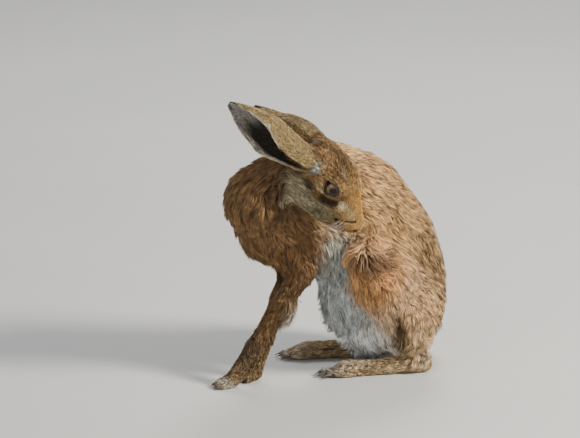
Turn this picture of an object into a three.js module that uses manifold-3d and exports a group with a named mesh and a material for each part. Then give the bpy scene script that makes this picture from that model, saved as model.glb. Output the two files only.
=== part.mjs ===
// A brown hare at life size, sitting on its haunches and turned back to groom its left flank.
// Millimetres, +Z up. The hare faces -X, its left side is towards -Y, and it rests on the plane z = 0.
//
// The flesh is modelled as blended limbs and rounded masses, a distance field that becomes a closed mesh, is
// simplified, and parted into named pieces with thin cuts. Ears, eyes and claws are made directly.
import * as THREE from "three";
import { mergeVertices } from "three/addons/utils/BufferGeometryUtils.js";
import Module from "manifold-3d";

const wasm = await Module();
wasm.setup();
const V = (x, y, z) => new THREE.Vector3(x, y, z);
const mix = (a, b, t) => a.clone().lerp(b, t);
const LEFT = 1;
const RIGHT = -1;
const SIDES = [
  ["left", LEFT],
  ["right", RIGHT],
];

// Driving sizes of an adult brown hare, fur included.
const GAP = 0.3; // between pieces that touch
const CLEAR = 1; // kept by a rounded piece cut to fit another
const LINE_DEPTH = 2.2; // of the mouth line
const EYE_RADIUS = 10.4;
const HIND_TOE = { length: 30, radius: 6.2 };
const FORE_TOE = { length: 18, radius: 4.8 };
const CLAW_RADIUS = 1.5;
const EAR_WALL = 2.6;

// Cell sizes of the meshes before they are simplified, and the triangles kept afterwards.
const BODY_MESH = { cell: 3, triangles: 4300 };
const CUTTER_MESH = { cell: 2.8, triangles: 2000 };
const HEAD_MESH = { cell: 1.8, triangles: 3000 };
const FOOT_MESH = { cell: 1.7, triangles: 480 };
const HEAD_CUTTER_MESH = { cell: 2.4, triangles: 1000 };
const MUZZLE_MESH = { cell: 2.2, triangles: 400 };
const TAIL_MESH = { cell: 2, triangles: 220 };

// Distance fields

// A limb that tapers from a to b. Where flat is below 1 it is thinner along the unit vector side.
function limb(a, ra, b, rb, side = V(0, 0, 1), flat = 1) {
  const d = b.clone().sub(a);
  const length2 = Math.max(d.lengthSq(), 1e-9);
  const k = 1 / flat - 1;
  return (x, y, z) => {
    const px = x - a.x;
    const py = y - a.y;
    const pz = z - a.z;
    const t = Math.min(1, Math.max(0, (px * d.x + py * d.y + pz * d.z) / length2));
    let qx = px - t * d.x;
    let qy = py - t * d.y;
    let qz = pz - t * d.z;
    const stretch = k * (qx * side.x + qy * side.y + qz * side.z);
    qx += stretch * side.x;
    qy += stretch * side.y;
    qz += stretch * side.z;
    const reach = Math.sqrt(qx * qx + qy * qy + qz * qz) + 1e-9;
    const along = (qx * side.x + qy * side.y + qz * side.z) / reach;
    return (reach - ra - t * (rb - ra)) / Math.sqrt(1 + k * (2 + k) * along * along);
  };
}

// An ellipsoid about a centre, with its three radii along the columns of a rotation.
function mass(centre, radii, turn = new THREE.Matrix4()) {
  const e = turn.elements;
  const [rx, ry, rz] = radii;
  return (x, y, z) => {
    const px = x - centre.x;
    const py = y - centre.y;
    const pz = z - centre.z;
    const u = (px * e[0] + py * e[1] + pz * e[2]) / rx;
    const v = (px * e[4] + py * e[5] + pz * e[6]) / ry;
    const w = (px * e[8] + py * e[9] + pz * e[10]) / rz;
    const k0 = Math.sqrt(u * u + v * v + w * w) + 1e-9;
    const k1 = Math.sqrt((u / rx) ** 2 + (v / ry) ** 2 + (w / rz) ** 2) + 1e-9;
    return (k0 * (k0 - 1)) / k1;
  };
}

// Joins fields so that they flow into each other over a width k.
function blend(k, fields) {
  return (x, y, z) => {
    let d = fields[0](x, y, z);
    for (let i = 1; i < fields.length; i++) {
      const f = fields[i](x, y, z);
      const h = Math.max(k - Math.abs(d - f), 0) / k;
      d = Math.min(d, f) - h * h * k * 0.25;
    }
    return d;
  };
}

// The rotation whose columns are a forward direction, the side nearest to left, and the up that fits both.
function turnTo(forward, left) {
  const f = forward.clone().normalize();
  const up = f.clone().cross(left).normalize();
  return new THREE.Matrix4().makeBasis(f, up.clone().cross(f), up);
}

// Meshes of a field

// The six tetrahedra of a grid cube, as corner numbers whose bits are the steps along x, y and z.
const TETRAHEDRA = [
  [0, 1, 3, 7],
  [0, 1, 5, 7],
  [0, 2, 3, 7],
  [0, 2, 6, 7],
  [0, 4, 5, 7],
  [0, 4, 6, 7],
];

// The closed surface where the field is zero, inside a box, by marching tetrahedra.
function surface(field, box, cell) {
  const size = box.getSize(V(0, 0, 0));
  const [nx, ny, nz] = size.toArray().map((s) => Math.ceil(s / cell) + 1);
  const values = new Float32Array(nx * ny * nz);
  const least = cell * 0.02;
  let n = 0;
  for (let k = 0; k < nz; k++)
    for (let j = 0; j < ny; j++)
      for (let i = 0; i < nx; i++) {
        const edge = i === 0 || j === 0 || k === 0 || i === nx - 1 || j === ny - 1 || k === nz - 1;
        const value = field(box.min.x + i * cell, box.min.y + j * cell, box.min.z + k * cell);
        const held = edge ? Math.max(value, cell) : value;
        values[n++] = Math.abs(held) < least ? least : held;
      }
  const step = (corner) => (corner & 1) + ((corner >> 1) & 1) * nx + ((corner >> 2) & 1) * nx * ny;
  const steps = Array.from({ length: 8 }, (_, corner) => step(corner));
  const positions = [];
  const triangles = [];
  const made = new Map();
  const place = (index) => [index % nx, Math.floor(index / nx) % ny, Math.floor(index / (nx * ny))];
  const crossing = (base, a, b) => {
    const [lo, hi] = a < b ? [a, b] : [b, a];
    const start = base + steps[lo];
    const key = start * 8 + (hi ^ lo);
    if (made.has(key)) return made.get(key);
    const end = base + steps[hi];
    const t = values[start] / (values[start] - values[end]);
    const p = place(start);
    const q = place(end);
    positions.push(
      box.min.x + cell * (p[0] + t * (q[0] - p[0])),
      box.min.y + cell * (p[1] + t * (q[1] - p[1])),
      box.min.z + cell * (p[2] + t * (q[2] - p[2])),
    );
    made.set(key, positions.length / 3 - 1);
    return positions.length / 3 - 1;
  };
  const at = (i) => V(positions[3 * i], positions[3 * i + 1], positions[3 * i + 2]);
  const add = (a, b, c, outward) => {
    const pa = at(a);
    const normal = at(b).sub(pa).cross(at(c).sub(pa));
    triangles.push(...(normal.dot(outward) > 0 ? [a, b, c] : [a, c, b]));
  };
  for (let k = 0; k < nz - 1; k++)
    for (let j = 0; j < ny - 1; j++)
      for (let i = 0; i < nx - 1; i++) {
        const base = i + j * nx + k * nx * ny;
        let inside = 0;
        for (let c = 0; c < 8; c++) inside += values[base + steps[c]] < 0 ? 1 : 0;
        if (inside === 0 || inside === 8) continue;
        for (const tetrahedron of TETRAHEDRA) {
          const ins = tetrahedron.filter((c) => values[base + steps[c]] < 0);
          const outs = tetrahedron.filter((c) => values[base + steps[c]] >= 0);
          if (!ins.length || !outs.length) continue;
          const centre = (corners) =>
            corners
              .reduce((sum, c) => sum.add(V(c & 1, (c >> 1) & 1, (c >> 2) & 1)), V(0, 0, 0))
              .divideScalar(corners.length);
          const outward = centre(outs).sub(centre(ins));
          if (ins.length === 2) {
            const [a, b, c, d] = [
              crossing(base, ins[0], outs[0]),
              crossing(base, ins[0], outs[1]),
              crossing(base, ins[1], outs[1]),
              crossing(base, ins[1], outs[0]),
            ];
            add(a, b, c, outward);
            add(a, c, d, outward);
          } else {
            const lone = ins.length === 1 ? ins[0] : outs[0];
            const rest = ins.length === 1 ? outs : ins;
            add(...rest.map((c) => crossing(base, lone, c)), outward);
          }
        }
      }
  return { positions, triangles };
}

// A heap of edges, the cheapest first.
class Heap {
  items = [];
  push(item) {
    const { items } = this;
    let i = items.push(item) - 1;
    while (i > 0) {
      const parent = (i - 1) >> 1;
      if (items[parent].cost <= item.cost) break;
      items[i] = items[parent];
      i = parent;
    }
    items[i] = item;
  }
  pop() {
    const { items } = this;
    const top = items[0];
    const last = items.pop();
    if (!items.length) return top;
    let i = 0;
    for (;;) {
      let child = 2 * i + 1;
      if (child >= items.length) break;
      if (child + 1 < items.length && items[child + 1].cost < items[child].cost) child++;
      if (items[child].cost >= last.cost) break;
      items[i] = items[child];
      i = child;
    }
    items[i] = last;
    return top;
  }
}

const LENGTH_PENALTY = 1e-4; // keeps the triangles of flat regions from growing without end
const LEAST_TURN = 0.25; // a face may not turn further than this cosine when an edge collapses

// Collapses the edges that matter least to the shape, until that many triangles are left.
function simplify({ positions, triangles }, wanted) {
  const p = Float64Array.from(positions);
  const count = p.length / 3;
  const faces = triangles.slice();
  const around = Array.from({ length: count }, () => []);
  const quadrics = new Float64Array(count * 10);
  const stamps = new Int32Array(count);
  const normal = (a, b, c) => {
    const ux = p[3 * b] - p[3 * a];
    const uy = p[3 * b + 1] - p[3 * a + 1];
    const uz = p[3 * b + 2] - p[3 * a + 2];
    const vx = p[3 * c] - p[3 * a];
    const vy = p[3 * c + 1] - p[3 * a + 1];
    const vz = p[3 * c + 2] - p[3 * a + 2];
    return [uy * vz - uz * vy, uz * vx - ux * vz, ux * vy - uy * vx];
  };
  for (let f = 0; f < faces.length; f += 3) {
    const corners = [faces[f], faces[f + 1], faces[f + 2]];
    const n = normal(...corners);
    const length = Math.hypot(...n) || 1;
    const [a, b, c] = n.map((x) => x / length);
    const d = -(a * p[3 * corners[0]] + b * p[3 * corners[0] + 1] + c * p[3 * corners[0] + 2]);
    const terms = [a * a, a * b, a * c, a * d, b * b, b * c, b * d, c * c, c * d, d * d];
    for (const v of corners) {
      around[v].push(f);
      terms.forEach((term, i) => (quadrics[10 * v + i] += term));
    }
  }
  const neighbours = (v) => {
    const found = new Set();
    for (const f of around[v]) for (let i = 0; i < 3; i++) found.add(faces[f + i]);
    found.delete(v);
    return found;
  };
  const heap = new Heap();
  const weigh = (u, v) => {
    const q = Array.from({ length: 10 }, (_, i) => quadrics[10 * u + i] + quadrics[10 * v + i]);
    const error = (x, y, z) =>
      q[0] * x * x + q[4] * y * y + q[7] * z * z + q[9] +
      2 * (q[1] * x * y + q[2] * x * z + q[5] * y * z + q[3] * x + q[6] * y + q[8] * z);
    const middle = [0, 1, 2].map((i) => (p[3 * u + i] + p[3 * v + i]) / 2);
    const length2 = [0, 1, 2].reduce((sum, i) => sum + (p[3 * u + i] - p[3 * v + i]) ** 2, 0);
    const det =
      q[0] * (q[4] * q[7] - q[5] * q[5]) -
      q[1] * (q[1] * q[7] - q[5] * q[2]) +
      q[2] * (q[1] * q[5] - q[4] * q[2]);
    let best = middle;
    if (Math.abs(det) > 1e-4) {
      const solved = [
        q[1] * (q[6] * q[7] - q[5] * q[8]) -
          q[3] * (q[4] * q[7] - q[5] * q[5]) -
          q[2] * (q[6] * q[5] - q[4] * q[8]),
        q[3] * (q[1] * q[7] - q[5] * q[2]) -
          q[0] * (q[6] * q[7] - q[8] * q[5]) -
          q[2] * (q[1] * q[8] - q[6] * q[2]),
        q[1] * (q[1] * q[8] - q[6] * q[2]) -
          q[0] * (q[4] * q[8] - q[5] * q[6]) -
          q[3] * (q[1] * q[5] - q[4] * q[2]),
      ].map((x) => x / det);
      const far2 = solved.reduce((sum, x, i) => sum + (x - middle[i]) ** 2, 0);
      if (far2 < length2) best = solved;
    }
    const cost = Math.max(error(...best), 0) + LENGTH_PENALTY * length2;
    heap.push({ cost, u, v, best, stamp: stamps[u] + stamps[v] });
  };
  for (let v = 0; v < count; v++) for (const u of neighbours(v)) if (u > v) weigh(v, u);
  let left = faces.length / 3;
  while (left > wanted && heap.items.length) {
    const { u, v, best, stamp } = heap.pop();
    if (!around[u].length || !around[v].length || stamp !== stamps[u] + stamps[v]) continue;
    const shared = [...neighbours(u)].filter((w) => around[w].length && neighbours(v).has(w));
    if (shared.length !== 2) continue;
    const both = around[u].filter((f) => around[v].includes(f));
    if (both.length !== 2) continue;
    const kept = [...around[u], ...around[v]].filter((f) => !both.includes(f));
    const before = kept.map((f) => normal(faces[f], faces[f + 1], faces[f + 2]));
    const old = [0, 1, 2].map((i) => [p[3 * u + i], p[3 * v + i]]);
    best.forEach((x, i) => (p[3 * u + i] = p[3 * v + i] = x));
    const bad = kept.some((f, i) => {
      const after = normal(faces[f], faces[f + 1], faces[f + 2]);
      const dot = after[0] * before[i][0] + after[1] * before[i][1] + after[2] * before[i][2];
      const turned = dot < LEAST_TURN * Math.hypot(...after) * Math.hypot(...before[i]);
      return turned || Math.hypot(...after) < 1e-3;
    });
    if (bad) {
      old.forEach(([a, b], i) => ([p[3 * u + i], p[3 * v + i]] = [a, b]));
      continue;
    }
    for (const f of both)
      for (let i = 0; i < 3; i++) {
        const w = faces[f + i];
        around[w] = around[w].filter((g) => g !== f);
      }
    for (const f of around[v]) for (let i = 0; i < 3; i++) if (faces[f + i] === v) faces[f + i] = u;
    around[u] = kept.filter((f, i) => kept.indexOf(f) === i);
    around[v] = [];
    for (let i = 0; i < 10; i++) quadrics[10 * u + i] += quadrics[10 * v + i];
    stamps[u] += stamps[v] + 1;
    left -= 2;
    for (const w of neighbours(u)) weigh(u, w);
  }
  const numbers = new Map();
  const kept = { positions: [], triangles: [] };
  const alive = new Set(around.flat());
  for (const f of alive)
    for (let i = 0; i < 3; i++) {
      const v = faces[f + i];
      if (!numbers.has(v)) {
        numbers.set(v, kept.positions.length / 3);
        kept.positions.push(p[3 * v], p[3 * v + 1], p[3 * v + 2]);
      }
      kept.triangles.push(numbers.get(v));
    }
  return kept;
}

// Moves each vertex back onto the surface that the simplified mesh stands for.
function settle(mesh, field) {
  const h = 0.05;
  for (let i = 0; i < mesh.positions.length; i += 3) {
    const [x, y, z] = mesh.positions.slice(i, i + 3);
    const value = field(x, y, z);
    const slope = [
      (field(x + h, y, z) - field(x - h, y, z)) / (2 * h),
      (field(x, y + h, z) - field(x, y - h, z)) / (2 * h),
      (field(x, y, z + h) - field(x, y, z - h)) / (2 * h),
    ];
    const steep = slope[0] ** 2 + slope[1] ** 2 + slope[2] ** 2;
    if (steep < 0.2 || Math.abs(value) > 1) continue;
    slope.forEach((s, axis) => (mesh.positions[i + axis] -= (value * s) / steep));
  }
  return mesh;
}

// Solids

const solidOf = (positions, triangles) =>
  new wasm.Manifold(
    new wasm.Mesh({
      numProp: 3,
      vertProperties: Float32Array.from(positions),
      triVerts: Uint32Array.from(triangles),
    }),
  );

// A three.js geometry as a solid.
function solid(geometry) {
  const bare = geometry.clone();
  bare.deleteAttribute("normal");
  bare.deleteAttribute("uv");
  const merged = mergeVertices(bare, 1e-4);
  return solidOf(merged.attributes.position.array, merged.index.array);
}

const largest = (body) =>
  body.decompose().reduce((best, piece) => (piece.volume() > best.volume() ? piece : best));

const fleshOf = (field, box, { cell, triangles }) => {
  const mesh = settle(simplify(surface(field, box, cell), triangles), field);
  return largest(solidOf(mesh.positions, mesh.triangles));
};

function geometryOf(body) {
  const { numProp, vertProperties, triVerts, numVert } = body.getMesh();
  const positions = new Float32Array(numVert * 3);
  for (let i = 0; i < numVert; i++)
    positions.set(vertProperties.subarray(i * numProp, i * numProp + 3), i * 3);
  const geometry = new THREE.BufferGeometry()
    .setAttribute("position", new THREE.BufferAttribute(positions, 3))
    .setIndex(new THREE.BufferAttribute(triVerts, 1));
  geometry.computeVertexNormals();
  return geometry;
}

const boxAround = (points, margin) => new THREE.Box3().setFromPoints(points).expandByScalar(margin);

// An ellipsoid as a cutter.
function egg(centre, radii, turn = new THREE.Matrix4(), grow = 0) {
  const geometry = new THREE.SphereGeometry(1, 14, 8);
  geometry.scale(...radii.map((r) => r + grow));
  geometry.applyMatrix4(turn);
  geometry.translate(...centre.toArray());
  return solid(geometry);
}

// A round rod between two points.
function tube(start, end, radius) {
  const way = end.clone().sub(start);
  const geometry = new THREE.CylinderGeometry(radius, radius, way.length(), 14);
  geometry.applyQuaternion(new THREE.Quaternion().setFromUnitVectors(V(0, 1, 0), way.clone().normalize()));
  geometry.translate(...mix(start, end, 0.5).toArray());
  return solid(geometry);
}

// Everything ahead of a plane through a point, square to a direction.
const HALF_SPACE = 600;
function ahead(point, direction, offset = 0) {
  const geometry = new THREE.BoxGeometry(HALF_SPACE, HALF_SPACE, HALF_SPACE);
  geometry.translate(0, HALF_SPACE / 2 + offset, 0);
  const turn = new THREE.Quaternion().setFromUnitVectors(V(0, 1, 0), direction.clone().normalize());
  geometry.applyQuaternion(turn);
  geometry.translate(...point.toArray());
  return solid(geometry);
}

const FLOOR = ahead(V(0, 0, 0), V(0, 0, -1));
const standing = (body) => body.subtract(FLOOR);

// The pose, as places of the joints

const TRUNK = {
  rump: V(66, 12, 52),
  pelvis: V(78, 10, 76),
  loin: V(78, 6, 110),
  belly: V(40, -8, 108),
  groin: V(32, -4, 72),
  midBack: V(63, -2, 152),
  thorax: V(31, -10, 194),
  withers: V(-10, -18, 214),
  sternum: V(-10, -26, 150),
  shoulders: V(-44, -34, 204),
  breast: V(-63, -46, 172),
};
const NECK = [V(-71, -56, 198), V(-80, -74, 205), V(-78, -89, 219), V(-58, -91, 239), V(-33, -99, 257)];
const FORELEG = {
  [LEFT]: {
    shoulder: V(-52, -62, 172),
    elbow: V(-32, -62, 124),
    wrist: V(-85, -80, 42),
    ball: V(-108, -88, 8),
  },
  [RIGHT]: {
    shoulder: V(-72, -24, 172),
    elbow: V(-42, -14, 116),
    wrist: V(-72, -46, 42),
    ball: V(-84, -57, 8),
  },
};
const HIND_LEG = {
  [LEFT]: {
    hip: V(86, -24, 78),
    knee: V(44, -57, 139),
    hock: V(98, -26, 27),
    heel: V(104, -24, 11),
    ball: V(20, -42, 8),
  },
  [RIGHT]: {
    hip: V(82, 44, 78),
    knee: V(42, 50, 128),
    hock: V(70, 46, 27),
    heel: V(72, 44, 11),
    ball: V(-24, 34, 8),
  },
};
const TAIL = [V(102, 28, 50), V(110, 46, 36), V(106, 64, 22), V(94, 78, 14)];

// The head's own frame starts between the eyes: x forward to the nose, y left, z up.
const HEAD = { centre: V(7, -107, 241), forward: V(0.47, 0.14, -0.872), roll: THREE.MathUtils.degToRad(24) };
const headPlace = turnTo(HEAD.forward, V(0, 1, 0))
  .multiply(new THREE.Matrix4().makeRotationX(HEAD.roll))
  .setPosition(HEAD.centre);
const headInverse = headPlace.clone().invert();
const inHead = (x, y, z) => V(x, y, z).applyMatrix4(headPlace);

// Body

const trunkField = blend(26, [
  mass(TRUNK.rump, [44, 42, 40]),
  mass(TRUNK.pelvis, [46, 44, 48]),
  mass(TRUNK.loin, [50, 46, 50]),
  mass(TRUNK.belly, [53, 45, 52]),
  mass(TRUNK.groin, [40, 34, 40]),
  mass(TRUNK.midBack, [52, 48, 50]),
  mass(TRUNK.thorax, [54, 48, 54]),
  mass(TRUNK.withers, [46, 44, 50]),
  mass(TRUNK.sternum, [34, 36, 36]),
  mass(TRUNK.shoulders, [40, 40, 42]),
  mass(TRUNK.breast, [42, 39, 42]),
]);
const NECK_RADII = [37, 35, 32, 25, 22];
const neckLimbs = (path) =>
  path.slice(1).map((end, i) => limb(path[i], NECK_RADII[i], end, NECK_RADII[i + 1]));
const forearmMiddle = (side) => mix(FORELEG[side].elbow, FORELEG[side].wrist, 0.42);
const forelegField = (side) => {
  const { shoulder, elbow, wrist, ball } = FORELEG[side];
  const middle = forearmMiddle(side);
  return blend(9, [
    limb(shoulder, 26, elbow, 16),
    limb(elbow, 15.5, middle, 11.5),
    limb(middle, 11.5, wrist, 8.6),
    limb(wrist, 8.6, ball, 8.4),
  ]);
};
const hindLegField = (side) => {
  const { hip, knee, hock } = HIND_LEG[side];
  const thigh = mix(hip, knee, 0.6);
  const calf = mix(knee, hock, 0.6);
  return blend(16, [
    limb(hip, 42, thigh, 38),
    limb(thigh, 38, knee, 24),
    limb(knee, 24, calf, 21),
    limb(calf, 21, hock, 11),
  ]);
};
const bodyField = blend(13, [
  trunkField,
  blend(14, neckLimbs(NECK)),
  hindLegField(LEFT),
  hindLegField(RIGHT),
  forelegField(LEFT),
  forelegField(RIGHT),
]);

const joints = [TRUNK, FORELEG[LEFT], FORELEG[RIGHT], HIND_LEG[LEFT], HIND_LEG[RIGHT]].flatMap(Object.values);
const bodyBox = boxAround([...joints, ...NECK], 64);
bodyBox.min.z = -8;
const fused = fleshOf(bodyField, bodyBox, BODY_MESH);
const lowBox = bodyBox.clone();
lowBox.max.z = 75;
const bodyCutter = fleshOf((x, y, z) => bodyField(x, y, z) - CLEAR, lowBox, CUTTER_MESH);

// Head

const EYE = { x: 0, y: 17.5, z: 2 };
const both = (make) => SIDES.map(([, side]) => make(side));
const headField = blend(8, [
  mass(V(-20, 0, -2), [30, 24, 22]),
  mass(V(1, 0, 6), [26, 21, 18]),
  limb(V(10, 0, 5), 15, V(52, 0, -7), 10.5),
  limb(V(-6, 0, -36), 16, V(45, 0, -25), 11),
  ...both((side) => mass(V(-8, side * 16, -27), [31, 18, 26])),
  ...both((side) => mass(V(22, side * 11, -30), [22, 10, 15])),
  ...both((side) => mass(V(12, side * 15, -10), [20, 8, 9])),
  ...both((side) => mass(V(48, side * 7.5, -14), [14, 8.5, 10])),
  mass(V(59, 0, -8), [6.5, 7.5, 6.5]),
  mass(V(49, 0, -29), [10, 8, 7]),
  ...both((side) => mass(V(1, side * 18, 12), [14, 6, 6])),
  ...both((side) => mass(V(EYE.x, side * EYE.y, EYE.z), [EYE_RADIUS + 2.6, EYE_RADIUS + 1, EYE_RADIUS + 2])),
  ...both((side) => limb(V(-30, side * 12, -5), 14, V(-42, side * 15, -10), 11.5)),
  blend(14, neckLimbs(NECK.map((point) => point.clone().applyMatrix4(headInverse))).slice(2)),
]);
const headBox = new THREE.Box3(V(-100, -54, -80), V(76, 54, 50));

// The opening between the lids, an almond with its front corner a little lower.
function almond(side) {
  const shape = new THREE.Shape();
  shape.moveTo(-9.6, -1);
  shape.quadraticCurveTo(-2, 14.5, 10, 0.8);
  shape.quadraticCurveTo(1, -13, -9.6, -1);
  const geometry = new THREE.ExtrudeGeometry(shape, { depth: 20, bevelEnabled: false, curveSegments: 8 });
  geometry.rotateX(Math.PI / 2);
  if (side === LEFT) geometry.translate(0, 20, 0);
  geometry.translate(EYE.x, side * EYE.y, EYE.z);
  return solid(geometry);
}
const ball = (centre, radius, width = 18, height = 10) => {
  const geometry = new THREE.SphereGeometry(radius, width, height);
  geometry.translate(...centre.toArray());
  return solid(geometry);
};
// A cut of one width that follows a path, as deep on each side as it is asked to be.
function groove(path, width, depth) {
  return wasm.Manifold.union(
    path.slice(1).map((end, i) => {
      const way = end.clone().sub(path[i]);
      const geometry = new THREE.BoxGeometry(way.length() + width, depth, width);
      geometry.applyMatrix4(turnTo(way, V(0, 1, 0)));
      geometry.translate(...mix(path[i], end, 0.5).toArray());
      return solid(geometry);
    }),
  );
}
const muzzleBox = new THREE.Box3(V(25, -30, -50), V(76, 30, 20));
const muzzleCore = fleshOf((x, y, z) => headField(x, y, z) + LINE_DEPTH, muzzleBox, MUZZLE_MESH);
const MOUTH_LINE = [V(36, 0, -16), V(46, 0, -19.5), V(56, 0, -20), V(72, 0, -18)];
const mouthLine = groove(MOUTH_LINE, 1.2, 60).subtract(muzzleCore);
const lipCleft = groove([V(60, 0, -20), V(66, 0, -10)], 1.1, 1).translate([1.6, 0, 0]);
const nostril = (side) => {
  const geometry = new THREE.SphereGeometry(1, 10, 8);
  geometry.scale(3.4, 3.2, 1.1);
  geometry.rotateY(0.5);
  geometry.rotateZ(side * -0.5);
  geometry.translate(62.5, side * 5, -7);
  return solid(geometry);
};
let headLocal = fleshOf(headField, headBox, HEAD_MESH).subtract(mouthLine).subtract(lipCleft);
for (const [, side] of SIDES) {
  headLocal = headLocal
    .subtract(ball(V(EYE.x, side * EYE.y, EYE.z), EYE_RADIUS + 2 * GAP))
    .subtract(almond(side))
    .subtract(nostril(side));
}
const toWorld = (body) => body.transform(headPlace.toArray());
const neckEnd = NECK[3];
const neckWay = NECK[4].clone().sub(NECK[3]).normalize();
const head = toWorld(headLocal).intersect(ahead(neckEnd, neckWay, GAP / 2));
const headCutter = toWorld(fleshOf((x, y, z) => headField(x, y, z) - CLEAR, headBox, HEAD_CUTTER_MESH));

// Ears

const EAR = {
  outer: [13, 15.5, 17.5, 19.5, 21.5, 22.6, 21, 18.4, 14.6, 9.6, 3.2],
  opening: [10, 12, 16, 26, 44, 60, 68, 72, 76, 82, 92],
};
const sample = (values, t) => {
  const at = t * (values.length - 1);
  const i = Math.min(values.length - 2, Math.floor(at));
  return values[i] + (values[i + 1] - values[i]) * (at - i);
};
const EAR_STATIONS = 15;
const EAR_POINTS = 8; // on each face of the section
function ear({ path, mouth }) {
  const curve = new THREE.CatmullRomCurve3(path);
  const positions = [];
  for (let k = 0; k < EAR_STATIONS; k++) {
    const t = k / (EAR_STATIONS - 1);
    const centre = curve.getPointAt(t);
    const along = curve.getTangentAt(t);
    const out = mouth.clone().addScaledVector(along, -mouth.dot(along)).normalize();
    const across = along.clone().cross(out);
    const radius = sample(EAR.outer, t);
    const gape = THREE.MathUtils.degToRad(sample(EAR.opening, t));
    const wall = Math.min(EAR_WALL, radius * 0.3);
    for (let face = 0; face < 2; face++)
      for (let i = 0; i < EAR_POINTS; i++) {
        const share = face ? 1 - i / (EAR_POINTS - 1) : i / (EAR_POINTS - 1);
        const angle = gape + share * 2 * (Math.PI - gape);
        const edge = Math.min(1, Math.min(share, 1 - share) * 5);
        const r = radius - face * wall * (0.45 + 0.55 * edge);
        positions.push(
          ...centre
            .clone()
            .addScaledVector(out, r * Math.cos(angle))
            .addScaledVector(across, r * Math.sin(angle))
            .toArray(),
        );
      }
  }
  const ring = 2 * EAR_POINTS;
  const triangles = [];
  for (let k = 0; k < EAR_STATIONS - 1; k++)
    for (let i = 0; i < ring; i++) {
      const a = k * ring + i;
      const b = k * ring + ((i + 1) % ring);
      triangles.push(a, b, b + ring, a, b + ring, a + ring);
    }
  const last = (EAR_STATIONS - 1) * ring;
  for (let i = 0; i < EAR_POINTS - 1; i++) {
    const [a, b, c, d] = [i, i + 1, ring - 2 - i, ring - 1 - i];
    triangles.push(a, c, b, a, d, c, last + a, last + b, last + c, last + a, last + c, last + d);
  }
  const body = solidOf(positions, triangles);
  return body.volume() > 0 ? body : solidOf(positions, triangles.reverse());
}
const EARS = {
  [RIGHT]: {
    path: [inHead(-34, -16, -9), inHead(-51, -21, -16), V(-73, -117, 295), V(-112, -106, 324)],
    mouth: V(-0.31, -0.83, -0.44),
  },
  [LEFT]: {
    path: [inHead(-34, 15.6, -11), inHead(-50, 20.6, -20), V(-56, -63, 284), V(-85, -56, 309)],
    mouth: V(-0.45, 0.6, -0.6),
  },
};

// Feet

const TOE_SPREAD = [-9.5, -3.4, 3.4, 9.5];
// Four toes fanned about the way a foot points, each ending in a short claw.
function toes(start, way, { length, radius }, spread) {
  const side = V(0, 0, 1).cross(way).normalize();
  return spread.map((offset, i) => {
    const share = Math.abs(offset) / Math.abs(spread[0]);
    const from = start.clone().addScaledVector(side, offset * 0.7);
    const to = from
      .clone()
      .addScaledVector(way, length * (1 - 0.22 * share))
      .addScaledVector(side, offset * 0.45);
    to.z = radius * 0.8;
    return { from, to, radius: radius * (i % 3 ? 1 : 0.92) };
  });
}
const toeLimb = ({ from, to, radius }) => limb(from, radius * 1.1, to, radius * 0.86);
function claw({ from, to, radius }) {
  const way = to.clone().sub(from).setZ(0).normalize();
  const curve = new THREE.QuadraticBezierCurve3(
    to.clone().addScaledVector(way, -radius * 0.4),
    to.clone().addScaledVector(way, radius * 1.3).setZ(to.z + 1),
    to.clone().addScaledVector(way, radius * 1.9).setZ(1.3),
  );
  const rings = 3;
  const corners = 4;
  const positions = [];
  for (let k = 0; k < rings; k++) {
    const t = k / rings;
    const centre = curve.getPoint(t);
    const along = curve.getTangent(t);
    const side = V(0, 0, 1).cross(along).normalize();
    const up = along.clone().cross(side);
    const r = CLAW_RADIUS * (1 - t * 0.85);
    for (let i = 0; i < corners; i++) {
      const angle = (i / corners) * 2 * Math.PI;
      const corner = centre.clone().addScaledVector(side, r * Math.cos(angle));
      positions.push(...corner.addScaledVector(up, r * Math.sin(angle)).toArray());
    }
  }
  const tip = positions.length / 3;
  positions.push(...curve.getPoint(1).toArray(), ...curve.getPoint(0).toArray());
  const triangles = [];
  for (let i = 0; i < corners; i++) {
    const j = (i + 1) % corners;
    for (let k = 0; k < rings - 1; k++) {
      const [a, b] = [k * corners + i, k * corners + j];
      triangles.push(a, b, b + corners, a, b + corners, a + corners);
    }
    triangles.push((rings - 1) * corners + i, (rings - 1) * corners + j, tip, j, i, tip + 1);
  }
  const body = solidOf(positions, triangles);
  return body.volume() > 0 ? body : solidOf(positions, triangles.reverse());
}
function hindFoot(side) {
  const { hock, heel, ball: pad } = HIND_LEG[side];
  const way = pad.clone().sub(heel).setZ(0).normalize();
  const fan = toes(pad, way, HIND_TOE, TOE_SPREAD);
  const field = blend(7, [
    limb(hock, 11, heel, 10.5),
    limb(heel, 11.5, mix(heel, pad, 0.5).setZ(10), 10.4),
    limb(mix(heel, pad, 0.5).setZ(10), 10.4, pad, 10.8),
    ...fan.map(toeLimb),
  ]);
  const area = boxAround([hock, heel, ...fan.map((toe) => toe.to)], 17);
  const foot = fleshOf(field, area, FOOT_MESH).subtract(bodyCutter);
  return standing(wasm.Manifold.union([largest(foot), ...fan.map(claw)]));
}
function forepaw(side) {
  const { wrist, ball: pad } = FORELEG[side];
  const way = pad.clone().sub(wrist).setZ(0).normalize();
  const fan = toes(pad, way, FORE_TOE, TOE_SPREAD.map((offset) => offset * 0.78));
  const middle = forearmMiddle(side);
  const field = blend(5, [limb(middle, 11.5, wrist, 8.6), limb(wrist, 8.6, pad, 8.4), ...fan.map(toeLimb)]);
  const area = boxAround([wrist, pad, ...fan.map((toe) => toe.to)], 14);
  const direction = wrist.clone().sub(middle).normalize();
  const paw = fleshOf(field, area, FOOT_MESH).intersect(ahead(wrist, direction, GAP / 2));
  return standing(wasm.Manifold.union([largest(paw), ...fan.map(claw)]));
}
const tailField = blend(
  6,
  TAIL.slice(1).map((end, i) => limb(TAIL[i], 15 - i * 1.2, end, 14 - i * 2.2)),
);

// Parting the body

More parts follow.
